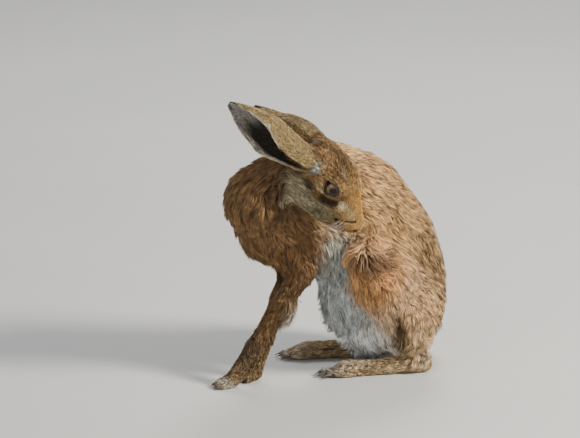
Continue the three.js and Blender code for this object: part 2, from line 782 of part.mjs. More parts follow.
const group = new THREE.Group();
const COLOURS = {
  coat: new THREE.MeshStandardMaterial({ color: 0x9a7450, roughness: 0.95 }),
  belly: new THREE.MeshStandardMaterial({ color: 0xd8d2c8, roughness: 0.95 }),
  flank: new THREE.MeshStandardMaterial({ color: 0xa9784c, roughness: 0.95 }),
  breast: new THREE.MeshStandardMaterial({ color: 0xa5754e, roughness: 0.95 }),
  tail: new THREE.MeshStandardMaterial({ color: 0x2a2420, roughness: 0.9 }),
  eye: new THREE.MeshStandardMaterial({ color: 0x2a1a10, roughness: 0.1 }),
};
function addNode(name, body, material = COLOURS.coat) {
  const mesh = new THREE.Mesh(geometryOf(largest(body)), material.clone());
  mesh.name = name;
  group.add(mesh);
}
// Splits a body at a plane; the first piece lies ahead of it.
function split(body, point, direction) {
  return [
    body.intersect(ahead(point, direction, GAP / 2)),
    body.subtract(ahead(point, direction, -GAP / 2)),
  ];
}
const towards = (from, to) => to.clone().sub(from).normalize();
// Takes an egg-shaped region out of a body: the region, then what remains.
function scoop(body, centre, radii, turn) {
  return [body.intersect(egg(centre, radii, turn)), body.subtract(egg(centre, radii, turn, GAP))];
}

let [neck, trunk] = split(standing(fused), V(-80, -80, 205), V(-0.1, -0.86, 0.5));
neck = neck.subtract(ahead(neckEnd, neckWay, -GAP / 2));
addNode("head", head);
addNode("neck", neck, COLOURS.breast);
for (const [name, side] of SIDES) {
  const { shoulder, elbow, wrist } = FORELEG[side];
  const way = towards(elbow, wrist);
  const start = mix(elbow, wrist, 0.08);
  const end = mix(elbow, wrist, 2);
  const pawWay = towards(forearmMiddle(side), wrist);
  const forearm = trunk.intersect(tube(start, end, 21)).subtract(ahead(wrist, pawWay, -GAP / 2));
  addNode(`forearm_${name}`, forearm, COLOURS.flank);
  trunk = trunk.subtract(tube(start.addScaledVector(way, -GAP), end, 22));
  const alongArm = turnTo(towards(shoulder, elbow), V(0, 1, 0));
  let upper;
  [upper, trunk] = scoop(trunk, mix(shoulder, elbow, 0.55), [48, 30, 32], alongArm);
  addNode(`upper_foreleg_${name}`, upper, COLOURS.flank);
  addNode(`forepaw_${name}`, forepaw(side), COLOURS.flank);

  const { hip, knee, hock } = HIND_LEG[side];
  let haunch;
  const haunchCentre = mix(hip, knee, 0.5).add(V(4, -side * 30, -12));
  [haunch, trunk] = scoop(trunk, haunchCentre, [62, 44, 88], turnTo(V(1, 0, -0.2), V(0, 1, 0)));
  const [thigh, shin] = split(haunch, mix(knee, hock, 0.4), V(0.3, 0, 1).normalize());
  addNode(`thigh_${name}`, thigh, COLOURS.flank);
  addNode(`shin_${name}`, shin, COLOURS.flank);
  addNode(`hind_foot_${name}`, hindFoot(side), COLOURS.flank);
  addNode(`ear_${name}`, ear(EARS[side]).subtract(headCutter));
  addNode(`eye_${name}`, toWorld(ball(V(EYE.x, side * EYE.y, EYE.z), EYE_RADIUS)), COLOURS.eye);
}
const [front, hind] = split(trunk, V(20, -10, 150), V(-0.75, 0, 0.66).normalize());
const [middleBody, rump] = split(hind, V(60, 0, 100), V(-0.55, 0, 0.83).normalize());
addNode("chest", front.subtract(headCutter.intersect(ahead(neckEnd, neckWay, -GAP / 2))), COLOURS.breast);
addNode("belly", middleBody, COLOURS.belly);
addNode("rump", rump);
const tail = fleshOf(tailField, boxAround(TAIL, 18), TAIL_MESH).subtract(bodyCutter);
addNode("tail", standing(tail), COLOURS.tail);

// The origin is on the floor, under the middle of the hare.
const extent = new THREE.Box3().setFromObject(group);
const centre = extent.getCenter(V(0, 0, 0));
group.position.set(-centre.x, -centre.y, 0);

export default group;
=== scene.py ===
# The stand-in frame, the floor, the light and the camera.
# The hare sits on a plain pale floor under three large soft lamps, the strongest from the side of its back,
# and is seen from its left side, a little from above, through a long lens.
import math

import bpy
import numpy as np
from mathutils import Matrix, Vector
from mathutils.bvhtree import BVHTree
from mathutils.kdtree import KDTree


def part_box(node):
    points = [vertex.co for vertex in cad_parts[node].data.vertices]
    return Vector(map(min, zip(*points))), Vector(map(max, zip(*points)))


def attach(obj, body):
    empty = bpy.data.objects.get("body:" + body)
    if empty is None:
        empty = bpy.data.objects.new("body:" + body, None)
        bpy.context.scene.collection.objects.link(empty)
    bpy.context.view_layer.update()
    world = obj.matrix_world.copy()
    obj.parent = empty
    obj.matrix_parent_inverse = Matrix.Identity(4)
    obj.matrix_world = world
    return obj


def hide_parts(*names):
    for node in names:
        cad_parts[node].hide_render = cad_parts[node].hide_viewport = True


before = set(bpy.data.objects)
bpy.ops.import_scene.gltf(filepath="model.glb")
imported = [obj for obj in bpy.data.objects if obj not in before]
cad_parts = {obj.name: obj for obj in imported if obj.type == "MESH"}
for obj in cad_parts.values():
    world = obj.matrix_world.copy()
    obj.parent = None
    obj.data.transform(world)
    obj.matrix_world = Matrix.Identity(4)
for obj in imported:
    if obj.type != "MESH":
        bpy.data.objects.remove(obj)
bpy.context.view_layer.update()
random = np.random.default_rng(3313)


def unit(vectors):
    """Vectors scaled to length one, along the last axis."""
    return vectors / (np.linalg.norm(vectors, axis=-1, keepdims=True) + 1e-12)


def smooth(low, high, value):
    """0 below low, 1 above high, with a soft step between them."""
    t = np.clip((value - low) / (high - low), 0.0, 1.0)
    return t * t * (3 - 2 * t)


# The head's own axes run forward to the nose, to its left, and up.
HEAD_CENTRE = np.array([7.0, -107.0, 241.0])
HEAD_FORWARD = unit(np.array([0.47, 0.14, -0.872]))
HEAD_ROLL = math.radians(24)
level_up = unit(np.cross(HEAD_FORWARD, [0.0, 1.0, 0.0]))
level_left = np.cross(level_up, HEAD_FORWARD)
head_left = math.cos(HEAD_ROLL) * level_left + math.sin(HEAD_ROLL) * level_up
head_up = np.cross(HEAD_FORWARD, head_left)
HEAD_TURN = np.stack([HEAD_FORWARD, head_left, head_up])

EYE = np.array([0.0, 17.5, 2.0])
EYE_RADIUS = 10.4


def in_head(points):
    """Points along the head's axes, in millimetres, as places of the pose."""
    return np.asarray(points, float) @ HEAD_TURN + HEAD_CENTRE


# The pose is given in millimetres about its own zero. The right eye ties it to the frame.
eye_low, eye_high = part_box("eye_right")
POSE_ZERO = (np.array(eye_low) + np.array(eye_high)) / 2 - in_head(EYE * [1, -1, 1]) / 1000


def placed(points):
    """Places of the pose, in millimetres, as places in the frame, in metres."""
    return np.asarray(points, float) / 1000 + POSE_ZERO


def along_head(places):
    """Places in the frame, in metres, as points along the head's axes, in millimetres."""
    return (places - placed(HEAD_CENTRE)) @ HEAD_TURN.T * 1000


def in_scene(name, data):
    """A new object of the scene, which holds a mesh, a lamp or a camera."""
    made = bpy.data.objects.new(name, data)
    bpy.context.scene.collection.objects.link(made)
    return made


VIEW_TILT = math.radians(14)
VIEW_TARGET = placed([-44.4, 0.0, 169.0])
VIEW_DISTANCE = 6.0
VIEW_WIDTH = math.radians(6.148)
FARTHEST_SEEN = 50

camera = in_scene("camera", bpy.data.cameras.new("camera"))
camera.data.angle = VIEW_WIDTH
camera.data.clip_end = FARTHEST_SEEN
view_back = np.array([0.0, -math.cos(VIEW_TILT), math.sin(VIEW_TILT)])
camera.location = VIEW_TARGET + VIEW_DISTANCE * view_back
camera.rotation_euler = (math.pi / 2 - VIEW_TILT, 0, 0)
bpy.context.scene.camera = camera


def lamp(name, place, aim, size, power, colour):
    """A large soft lamp that points at a place."""
    light = bpy.data.lights.new(name, "AREA")
    light.shape = "DISK"
    light.size = size
    light.energy = power
    light.color = colour
    holder = in_scene(name, light)
    holder.location = place
    holder.rotation_euler = (Vector(aim) - Vector(place)).to_track_quat("-Z", "Y").to_euler()


lamp("key_lamp", (2.0, -0.9, 1.5), (0, 0, 0.17), 0.7, 124, (1.0, 0.94, 0.84))
lamp("fill_lamp", (-1.5, -1.7, 1.0), (0, 0, 0.15), 1.5, 14, (0.93, 0.97, 1.0))
lamp("back_lamp", (0.3, 1.8, 1.8), (0, 0, 0.2), 1.0, 34, (1.0, 0.98, 0.95))
ROOM_COLOUR = (0.80, 0.82, 0.84, 1)
ROOM_STRENGTH = 0.42
world = bpy.data.worlds.new("studio")
world.use_nodes = True
world.node_tree.nodes["Background"].inputs["Color"].default_value = ROOM_COLOUR
world.node_tree.nodes["Background"].inputs["Strength"].default_value = ROOM_STRENGTH
bpy.context.scene.world = world


def new_material(name, inputs):
    """A material, its node tree, and its surface shader with these inputs set."""
    material = bpy.data.materials.new(name)
    material.use_nodes = True
    shader = material.node_tree.nodes["Principled BSDF"]
    for key, value in inputs.items():
        shader.inputs[key].default_value = value
    return material, material.node_tree, shader


def result(tree, kind, output, inputs, **settings):
    """An output of a new shader node. Each input is a value or the output of another node."""
    made = tree.nodes.new("ShaderNode" + kind)
    for key, value in settings.items():
        setattr(made, key, value)
    for key, value in inputs.items():
        if isinstance(value, bpy.types.NodeSocket):
            tree.links.new(value, made.inputs[key])
        else:
            made.inputs[key].default_value = value
    return made.outputs[output]


def graded(tree, value, stops):
    """A value's colour on a ramp. Each stop is a place on the ramp and a colour."""
    colour = result(tree, "ValToRGB", "Color", {"Fac": value})
    ramp = colour.node.color_ramp.elements
    while len(ramp) < len(stops):
        ramp.new(0.5)
    for element, (at, tone) in zip(ramp, stops):
        element.position = at
        element.color = (*tone, 1)
    return colour


def speckled(name, roughness, grain, stops):
    """A material whose colour wanders between the stops of a ramp, by a noise of this grain."""
    material, tree, shader = new_material(name, {"Roughness": roughness})
    noise = result(tree, "TexNoise", "Fac", grain)
    tree.links.new(graded(tree, noise, stops), shader.inputs["Base Color"])
    return material


FLOOR_HALF = 5.0
floor_corners = [(x * FLOOR_HALF, y * FLOOR_HALF, 0) for x, y in ((-1, -1), (1, -1), (1, 1), (-1, 1))]
floor_tones = [(0.0, (0.56, 0.565, 0.56)), (1.0, (0.62, 0.62, 0.61))]
floor_mesh = bpy.data.meshes.new("floor")
floor_mesh.from_pydata(floor_corners, [], [(0, 1, 2, 3)])
floor_mesh.materials.append(speckled("floor_paint", 0.8, {"Scale": 30.0, "Detail": 4.0}, floor_tones))
floor = in_scene("floor", floor_mesh)

# The skin: one closed hide over the whole body, under the coat, with the lids and the lips folded into it.
# It is the outer shape of the flesh, made in one sheet with no seam and then drawn in by the coat's depth.
# It shows between the tufts and on the short-haired face, ears and feet, so it carries the same markings.

# Places of the joints. Each limb is a line between joints with the half-thickness of the body about it. Hair
# lies from a limb's first end to its last, and its colour, length and depth come from the limb's region.
JOINTS = {
    "nose": in_head([60, 0, -9]),
    "brow": in_head([8, 0, 4]),
    "crown": in_head([-26, 0, 0]),
    "nape": in_head([-46, 0, -14]),
    "chin": in_head([46, 0, -28]),
    "jaw": in_head([0, 0, -32]),
    "throat": in_head([-24, 0, -34]),
    "neck_end": (-33, -99, 257),
    "neck_bend": (-58, -91, 239),
    "neck_front": (-78, -89, 219),
    "neck_low": (-80, -74, 205),
    "neck_base": (-71, -56, 198),
    "shoulders": (-44, -34, 204),
    "withers": (-10, -18, 214),
    "thorax": (31, -10, 194),
    "mid_back": (63, -2, 152),
    "loin": (78, 6, 110),
    "pelvis": (80, 10, 76),
    "rump": (84, 14, 30),
    "breast": (-63, -46, 172),
    "breast_low": (-52, -46, 128),
    "belly_front": (-4, -28, 150),
    "belly": (30, -10, 104),
    "groin": (34, -6, 40),
}
LEGS = {
    "left": {
        "shoulder": (-52, -62, 172),
        "elbow": (-32, -62, 124),
        "wrist": (-85, -80, 42),
        "pad": (-108, -88, 8),
        "hip": (86, -24, 78),
        "knee": (44, -57, 139),
        "hock": (98, -26, 27),
        "heel": (104, -24, 11),
        "ball": (20, -42, 8),
    },
    "right": {
        "shoulder": (-72, -24, 172),
        "elbow": (-42, -14, 116),
        "wrist": (-72, -46, 42),
        "pad": (-84, -57, 8),
        "hip": (82, 44, 78),
        "knee": (42, 50, 128),
        "hock": (70, 46, 27),
        "heel": (72, 44, 11),
        "ball": (-24, 34, 8),
    },
}
TAIL = [(102, 28, 50), (110, 46, 36), (106, 64, 22), (94, 78, 14)]
EARS = {
    "right": [in_head([-34, -16, -9]), in_head([-51, -21, -16]), (-73, -117, 295), (-112, -106, 324)],
    "left": [in_head([-34, 15.6, -11]), in_head([-50, 20.6, -20]), (-56, -63, 284), (-85, -56, 309)],
}

# Each entry: region, start, end, half-thickness at the start and at the end.
BODY_LIMBS = [
    ("muzzle", "nose", "brow", 13, 20),
    ("crown", "brow", "crown", 20, 24),
    ("crown", "crown", "nape", 24, 24),
    ("cheek", "chin", "jaw", 12, 30),
    ("cheek", "jaw", "throat", 34, 26),
    ("neck", "nape", "neck_end", 16, 19),
    ("neck", "neck_end", "neck_bend", 20, 25),
    ("neck", "neck_bend", "neck_front", 26, 33),
    ("neck", "neck_front", "neck_low", 34, 37),
    ("neck", "neck_low", "neck_base", 37, 40),
    ("back", "shoulders", "withers", 42, 46),
    ("back", "withers", "thorax", 48, 52),
    ("back", "thorax", "mid_back", 52, 50),
    ("back", "mid_back", "loin", 50, 49),
    ("back", "loin", "pelvis", 49, 46),
    ("back", "pelvis", "rump", 45, 38),
    ("breast", "neck_base", "breast", 40, 42),
    ("breast", "breast", "breast_low", 40, 30),
    ("belly", "belly_front", "belly", 34, 50),
    ("belly", "belly", "groin", 50, 36),
]
LEG_LIMBS = [
    ("foreleg", "shoulder", "elbow", 26, 16),
    ("foreleg", "elbow", "wrist", 14, 9),
    ("paw", "wrist", "pad", 9, 9),
    ("thigh", "knee", "hip", 28, 42),
    ("thigh", "knee", "hock", 26, 14),
    ("foot", "heel", "ball", 11, 11),
]
TAIL_HALF = 14
EAR_HALF = 16
LIMBS = [
    (region, joints[start], joints[end], *halves)
    for joints, limbs in ((JOINTS, BODY_LIMBS), *((leg, LEG_LIMBS) for leg in LEGS.values()))
    for region, start, end, *halves in limbs
]
for i, (start, end) in enumerate(zip(TAIL, TAIL[1:])):
    LIMBS.append(("tail", start, end, TAIL_HALF - i, TAIL_HALF - i - 1))
for ear in EARS.values():
    LIMBS += [("ear", start, end, EAR_HALF, EAR_HALF) for start, end in zip(ear, ear[1:])]

LIMB_REGIONS = [limb[0] for limb in LIMBS]
REGIONS = sorted(set(LIMB_REGIONS))
LIMB_STARTS = placed([limb[1] for limb in LIMBS])
LIMB_WAYS = placed([limb[2] for limb in LIMBS]) - LIMB_STARTS
LIMB_THICK = np.array([limb[3:] for limb in LIMBS]) / 1000
NEARNESS = 7  # how sharply the nearest limb wins
IS_EAR = np.array([name == "ear" for name in LIMB_REGIONS])
EAR_SURE, EAR_REACH = 0.0012, 0.005  # all ear up to the first distance, none of it past the second
solids = bpy.context.evaluated_depsgraph_get()
ear_trees = [BVHTree.FromObject(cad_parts[f"ear_{side}"], solids) for side in EARS]


def ear_share(points):
    """1 on the ears, falling to 0 a few millimetres from them."""
    away = np.full(len(points), EAR_REACH)
    for tree in ear_trees:
        hits = [tree.find_nearest(point, EAR_REACH)[3] for point in points.tolist()]
        away = np.minimum(away, [EAR_REACH if hit is None else hit for hit in hits])
    return 1 - smooth(EAR_SURE, EAR_REACH, away)


def limb_shares(points):
    """Every limb's share in each point. The nearest limbs have the most, and only ears share in the ears."""
    offset = points[:, None, :] - LIMB_STARTS[None]
    along = (offset * LIMB_WAYS).sum(-1) / (LIMB_WAYS**2).sum(-1)
    along = np.clip(along, 0, 1)
    out = offset - along[..., None] * LIMB_WAYS
    thick = LIMB_THICK[:, 0] + along * (LIMB_THICK[:, 1] - LIMB_THICK[:, 0])
    nearness = (np.linalg.norm(out, axis=-1) / thick + 1e-3) ** -NEARNESS
    on_ear = ear_share(points)[:, None]
    ears_only = nearness * IS_EAR
    rest = nearness * ~IS_EAR
    shares = on_ear * ears_only / ears_only.sum(1, keepdims=True)
    return shares + (1 - on_ear) * rest / rest.sum(1, keepdims=True)


def region_shares(shares):
    """The share of each region, summed over its limbs."""
    regions = {name: np.zeros(len(shares)) for name in REGIONS}
    for index, name in enumerate(LIMB_REGIONS):
        regions[name] += shares[:, index]
    return regions


def by_region(regions, values):
    """A value, or a row of values, that blends from region to region."""
    return sum(np.multiply.outer(share, np.asarray(values[name], float)) for name, share in regions.items())


def read_all(items, key, width, kind=np.float32):
    """One property of all items of a mesh, in rows of this width."""
    values = np.empty(len(items) * width, kind)
    items.foreach_get(key, values)
    return values.reshape(-1, width)


def corners_of(mesh):
    """The places of a mesh's corners, with like ones joined, and its triangles."""
    places = read_all(mesh.vertices, "co", 3)
    places, same = np.unique(places.round(7), axis=0, return_inverse=True)
    mesh.calc_loop_triangles()
    triangles = read_all(mesh.loop_triangles, "vertices", 3, np.int32)
    return places.astype(float), same.ravel()[triangles]


def face_ways(places, faces):
    """The outward way of every face, as long as twice its area."""
    corners = places[faces]
    if faces.shape[1] == 3:
        return np.cross(corners[:, 1] - corners[:, 0], corners[:, 2] - corners[:, 0])
    return np.cross(corners[:, 2] - corners[:, 0], corners[:, 3] - corners[:, 1])


def gathered(values, corners, count):
    """Values summed over the corners that they belong to."""
    return np.stack([np.bincount(corners, values[:, axis], count) for axis in range(values.shape[1])], 1)


def corner_ways(places, faces):
    """The outward way at every corner, as the mean over its faces."""
    ways = face_ways(places, faces)
    return unit(sum(gathered(ways, corner, len(places)) for corner in faces.T))


def mesh_of(name, places, faces):
    """A smooth mesh from its corners' places and its faces, which all have as many corners."""
    mesh = bpy.data.meshes.new(name)
    count, sides = faces.shape
    mesh.vertices.add(len(places))
    mesh.vertices.foreach_set("co", places.astype(np.float32).ravel())
    mesh.loops.add(count * sides)
    mesh.loops.foreach_set("vertex_index", faces.astype(np.int32).ravel())
    mesh.polygons.add(count)
    mesh.polygons.foreach_set("loop_start", np.arange(count, dtype=np.int32) * sides)
    mesh.update(calc_edges=True)
    mesh.polygons.foreach_set("use_smooth", np.ones(count, bool))
    return mesh


def joined(pieces):
    """The places and faces of several pieces as those of one."""
    starts = np.cumsum([0] + [len(places) for places, _ in pieces])
    faces = [faces + start for (_, faces), start in zip(pieces, starts)]
    return np.concatenate([places for places, _ in pieces]), np.concatenate(faces)


def keep_values(mesh, name, values):
    """A number or a colour kept at every corner, for the material to read."""
    if values.ndim == 1:
        attribute = mesh.attributes.new(name, "FLOAT", "POINT")
        attribute.data.foreach_set("value", values.astype(np.float32))
    else:
        attribute = mesh.attributes.new(name, "FLOAT_COLOR", "POINT")
        full = np.ones((len(values), 4), np.float32)
        full[:, :3] = values
        attribute.data.foreach_set("color", full.ravel())


def new_piece(name, mesh, material):
    """An object of the hare, in its finish, riding on its body."""
    piece = in_scene(name, mesh)
    mesh.materials.append(material)
    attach(piece, "root")
    return piece


SKIN_OVERLAP = 0.0005
SKIN_CELL = 0.0015

flesh_names = [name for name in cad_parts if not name.startswith("eye_")]
swollen = []
for name in flesh_names:
    places, triangles = corners_of(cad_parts[name].data)
    swollen.append((places + SKIN_OVERLAP * corner_ways(places, triangles), triangles))
shell = in_scene("shell", mesh_of("shell", *joined(swollen)))
one_sheet = shell.modifiers.new("one_sheet", "REMESH")
one_sheet.mode = "VOXEL"
one_sheet.voxel_size = SKIN_CELL
sheet = shell.evaluated_get(bpy.context.evaluated_depsgraph_get()).to_mesh()
skin_places = read_all(sheet.vertices, "co", 3).astype(float)
skin_faces = read_all(sheet.loops, "vertex_index", 1, np.int32).reshape(-1, 4)
bpy.data.objects.remove(shell)

# Only the outermost sheet is kept: a pocket between two solids leaves a closed scrap inside the body.
group = np.arange(len(skin_places))
while True:
    lowest = group.copy()
    face_lowest = group[skin_faces].min(1)
    for corner in skin_faces.T:
        np.minimum.at(lowest, corner, face_lowest)
    lowest = lowest[lowest]
    if (lowest == group).all():
        break
    group = lowest
sheets, sizes = np.unique(group, return_counts=True)
kept = group == sheets[sizes.argmax()]
renumbered = np.cumsum(kept) - 1
skin_faces = renumbered[skin_faces[kept[skin_faces[:, 0]]]]
skin_places = skin_places[kept]

SMOOTHING_STEPS = (0.55, -0.57)  # each step in is followed by a slightly longer one out, so nothing shrinks


def neighbour_mean(values, faces):
    """The mean of each corner's neighbours along the edges."""
    count = len(values)
    total = np.zeros_like(values)
    number = np.zeros(count)
    for first, second in ((0, 1), (1, 2), (2, 3), (3, 0)):
        for one, other in ((first, second), (second, first)):
            total += gathered(values[faces[:, other]], faces[:, one], count)
            number += np.bincount(faces[:, one], minlength=count)
    return total / number[:, None]


def smoothed(places, faces, rounds, strength):
    """Places evened out without shrinking, by a share that may vary over the skin."""
    for _ in range(rounds):
        for step in SMOOTHING_STEPS:
            places = places + step * strength[:, None] * (neighbour_mean(places, faces) - places)
    return places


# How deep the coat is, in millimetres, which is how far inside the flesh's outer shape the skin lies.
COAT_DEPTH = {
    "muzzle": 1.2, "crown": 2.4, "cheek": 3.2, "ear": 0.7, "neck": 8.5, "breast": 8.5, "back": 6.0,
    "belly": 9.0, "thigh": 6.0, "foreleg": 3.2, "paw": 2.2, "foot": 2.4, "tail": 4.0,
}
# Fine forms are evened out less: the cheek a little, muzzle, crown and ears the least.
CHEEK_FINENESS = 0.6
FINE_KEPT_BEFORE, FINE_KEPT_AFTER = 0.8, 0.85
ROUNDS_BEFORE, DEPTH_ROUNDS, ROUNDS_AFTER = 8, 8, 6
OWN_SHARE, NEIGHBOUR_SHARE = 0.4, 0.6

skin_regions = region_shares(limb_shares(skin_places))
fine = skin_regions["muzzle"] + skin_regions["crown"] + skin_regions["ear"]
fine = np.clip(fine + CHEEK_FINENESS * skin_regions["cheek"], 0, 1)
skin_places = smoothed(skin_places, skin_faces, ROUNDS_BEFORE, 1 - FINE_KEPT_BEFORE * fine)
coat_depth = by_region(skin_regions, COAT_DEPTH)[:, None] / 1000
draw_in = corner_ways(skin_places, skin_faces)
for _ in range(DEPTH_ROUNDS):
    coat_depth = OWN_SHARE * coat_depth + NEIGHBOUR_SHARE * neighbour_mean(coat_depth, skin_faces)
    draw_in = unit(OWN_SHARE * draw_in + NEIGHBOUR_SHARE * neighbour_mean(draw_in, skin_faces))
skin_places = skin_places - coat_depth * draw_in
skin_places = smoothed(skin_places, skin_faces, ROUNDS_AFTER, 1 - FINE_KEPT_AFTER * fine)

# The opening between the lids is an almond. Round it the hide lies on the eye, and inside it behind the eye.
# The lid's edge and the fold above it are told as shares of the almond's reach from the eye's middle.
ALMOND_CORNERS = np.array([[-10.4, -0.6], [10.6, -0.6]])
ALMOND_BENDS = np.array([[-2.0, 13.0], [1.5, -11.0]])
LID_INNER, LID_EDGE, LID_OUTER = 0.9, 1.03, 1.16
LID_THICKNESS = 0.7
LID_FOLD, FOLD_AT, FOLD_WIDTH, FOLD_FULL_HEIGHT = 0.7, 1.42, 0.13, 5
LID_CLEARANCE = 0.3
BEHIND_EYE = 0.86
SOCKET_MARGIN, SOCKET_DEPTH = 7, 3


def almond_line(steps):
    """The almond's edge, forward and up from the eye's middle, in millimetres."""
    t = np.linspace(0, 1, steps, endpoint=False)[:, None]
    (rear, front), (above, below) = ALMOND_CORNERS, ALMOND_BENDS
    upper = (1 - t) ** 2 * rear + 2 * t * (1 - t) * above + t**2 * front
    lower = (1 - t) ** 2 * front + 2 * t * (1 - t) * below + t**2 * rear
    return np.concatenate([upper, lower])


EDGE_STEPS = 90
edge = almond_line(EDGE_STEPS)
edge_angle = np.arctan2(edge[:, 1], edge[:, 0])
edge_radius = np.linalg.norm(edge, axis=1)


def from_eye(places):
    """Places seen from the eye on their side, the side, and their reach as a share of the almond's."""
    local = along_head(places)
    side = np.where(local[:, 1] < 0, -1.0, 1.0)
    local[:, 1] *= side
    local -= EYE
    angle = np.arctan2(local[:, 2], local[:, 0])
    almond_reach = np.interp(angle, edge_angle, edge_radius, period=2 * math.pi)
    return local, side, np.hypot(local[:, 0], local[:, 2]) / almond_reach


def back_from_eye(local, side):
    """Places in the frame of points that are given from the eye on their side."""
    local = local + EYE
    local[:, 1] *= side
    return placed(in_head(local))


def beside_eye(local, margin, depth):
    """Whether places seen from the eye are within a margin of its ball, and no deeper than this."""
    return (np.linalg.norm(local, axis=1) < EYE_RADIUS + margin) & (local[:, 1] > -depth)


local, side, reach = from_eye(skin_places)
distance = np.linalg.norm(local, axis=1)
near_eye = beside_eye(local, SOCKET_MARGIN, SOCKET_DEPTH)
behind = near_eye & (reach < LID_INNER)
local[behind] *= np.minimum(1, BEHIND_EYE * EYE_RADIUS / distance[behind])[:, None]
on_edge = near_eye & (reach >= LID_INNER) & (reach < LID_OUTER) & (local[:, 1] > 0)
flat = local[on_edge][:, [0, 2]] * (LID_EDGE / reach[on_edge])[:, None]
lid_radius = EYE_RADIUS + LID_THICKNESS
local[on_edge, 0] = flat[:, 0]
local[on_edge, 2] = flat[:, 1]
local[on_edge, 1] = np.sqrt(np.maximum(lid_radius**2 - (flat**2).sum(1), 1))
outside = near_eye & (reach >= LID_OUTER)
fold = LID_FOLD * np.exp(-(((reach - FOLD_AT) / FOLD_WIDTH) ** 2))
fold = fold * smooth(0, FOLD_FULL_HEIGHT, local[:, 2])
least = lid_radius + LID_CLEARANCE + fold
local[outside] *= np.maximum(1, least[outside] / distance[outside])[:, None]
skin_places[near_eye] = back_from_eye(local[near_eye], side[near_eye])

# The line of the mouth, the fold over the lip and the nostrils are pressed into the muzzle, and so is the
# cleft from nose to lip. Each soft end is told by where it starts and where it is full.
MOUTH_LINE = np.array([[37, -19], [46, -20.5], [56, -20.5], [66, -19]], float)
LIP_FOLD = np.array([[40, -20.5], [43, -15], [46, -9.5], [52, -2]], float)
LIP_FOLD_SIDE = (5.0, 8.0)
NOSTRIL = np.array([61.0, 6.5, -9.0])
NOSTRIL_SIZES = np.array([4.2, 5.0, 2.6])
NOSTRIL_EDGE = (0.5, 1.1)
CREASE_HALF_WIDTH = 1.1
CREASE_DEPTH = 0.0014
CLEFT_HALF_WIDTH = 0.8
CLEFT_EDGE, CLEFT_FRONT, CLEFT_BOTTOM, CLEFT_TOP = (0.4, 1.4), (59, 61), (-21, -19), (-10, -8)
MUZZLE_FROM = (34, 38)


def off_line(points, line):
    """How far points lie from a line of short lengths, in the plane of both."""
    nearest = np.full(len(points), np.inf)
    for start, end in zip(line, line[1:]):
        way = end - start
        share = np.clip(((points - start) @ way) / (way @ way), 0, 1)
        nearest = np.minimum(nearest, np.linalg.norm(points - start - share[:, None] * way, axis=1))
    return nearest


def muzzle_creases(places):
    """How deep in a crease of the muzzle places lie, from 0 to 1."""
    local = along_head(places)
    forward, width, up = local[:, 0], np.abs(local[:, 1]), local[:, 2]
    away = [off_line(local[:, [0, 2]], line) / CREASE_HALF_WIDTH for line in (MOUTH_LINE, LIP_FOLD)]
    mouth, lip = np.exp(-np.square(away))
    lip = lip * smooth(*LIP_FOLD_SIDE, width)
    away = np.linalg.norm((np.stack([forward, width, up], 1) - NOSTRIL) / NOSTRIL_SIZES, axis=1)
    nostril = 1 - smooth(*NOSTRIL_EDGE, away)
    cleft = (1 - smooth(*CLEFT_EDGE, width / CLEFT_HALF_WIDTH)) * smooth(*CLEFT_FRONT, forward)
    cleft = cleft * smooth(*CLEFT_BOTTOM, up) * (1 - smooth(*CLEFT_TOP, up))
    return smooth(*MUZZLE_FROM, forward) * np.maximum.reduce([mouth, lip, nostril, cleft])


crease = muzzle_creases(skin_places)
skin_places = skin_places - (CREASE_DEPTH * crease)[:, None] * corner_ways(skin_places, skin_faces)

# Toes end in round tips. The claws are pieces of their own, so the hide closes over their roots.
# The tips stand a little wider than the spread, and the outer toes are shorter and slimmer.
TOE_SPREAD = np.array([-9.5, -3.4, 3.4, 9.5])
HIND_TOE = {"length": 30.0, "radius": 6.2, "spread": TOE_SPREAD}
FORE_TOE = {"length": 18.0, "radius": 4.8, "spread": 0.78 * TOE_SPREAD}
TIP_SPREAD, ROOT_SPREAD = 1.15, 0.7
OUTER_TOE_SHORTER, OUTER_TOE_RADIUS = 0.22, 0.92
TOE_TIP_HEIGHT = 0.8  # of its radius
# The part taken up by a claw, in radii of its toe: from, to, and how far beside the toe's line.
CLAW_FROM, CLAW_TO, CLAW_BESIDE = 0.8, 2.6, 0.9
SKIN_LOWEST = 0.0005


def toe_ends(start, back, length, radius, spread):
    """Each toe's way, the middle of its tip and its radius, in millimetres in the pose."""
    start, back = np.array(start, float), np.array(back, float)
    way = unit((start - back) * [1, 1, 0])
    side = np.array([-way[1], way[0], 0])
    ends = []
    for index, offset in enumerate(spread):
        share = abs(offset / spread[0])
        tip = start + side * offset * TIP_SPREAD + way * length * (1 - OUTER_TOE_SHORTER * share)
        tip[2] = radius * TOE_TIP_HEIGHT
        toe_way = unit((tip - start - side * offset * ROOT_SPREAD) * [1, 1, 0])
        ends.append((toe_way, tip, radius * (1 if index in (1, 2) else OUTER_TOE_RADIUS)))
    return ends


TOES = []
for leg in LEGS.values():
    TOES += toe_ends(leg["ball"], leg["heel"], **HIND_TOE) + toe_ends(leg["pad"], leg["wrist"], **FORE_TOE)
for way, tip, radius in TOES:
    offset = (skin_places - placed(tip)) * 1000
    ahead = offset @ way
    distance = np.linalg.norm(offset, axis=1)
    claw_part = (ahead > 0) & (distance > CLAW_FROM * radius) & (distance < CLAW_TO * radius)
    claw_part &= np.linalg.norm(offset - ahead[:, None] * way, axis=1) < CLAW_BESIDE * radius
    closed = offset[claw_part] * (CLAW_FROM * radius / distance[claw_part])[:, None]
    skin_places[claw_part] = placed(tip) + closed / 1000
skin_places[:, 2] = np.maximum(skin_places[:, 2], SKIN_LOWEST)
skin_mesh = mesh_of("skin", skin_places, skin_faces)
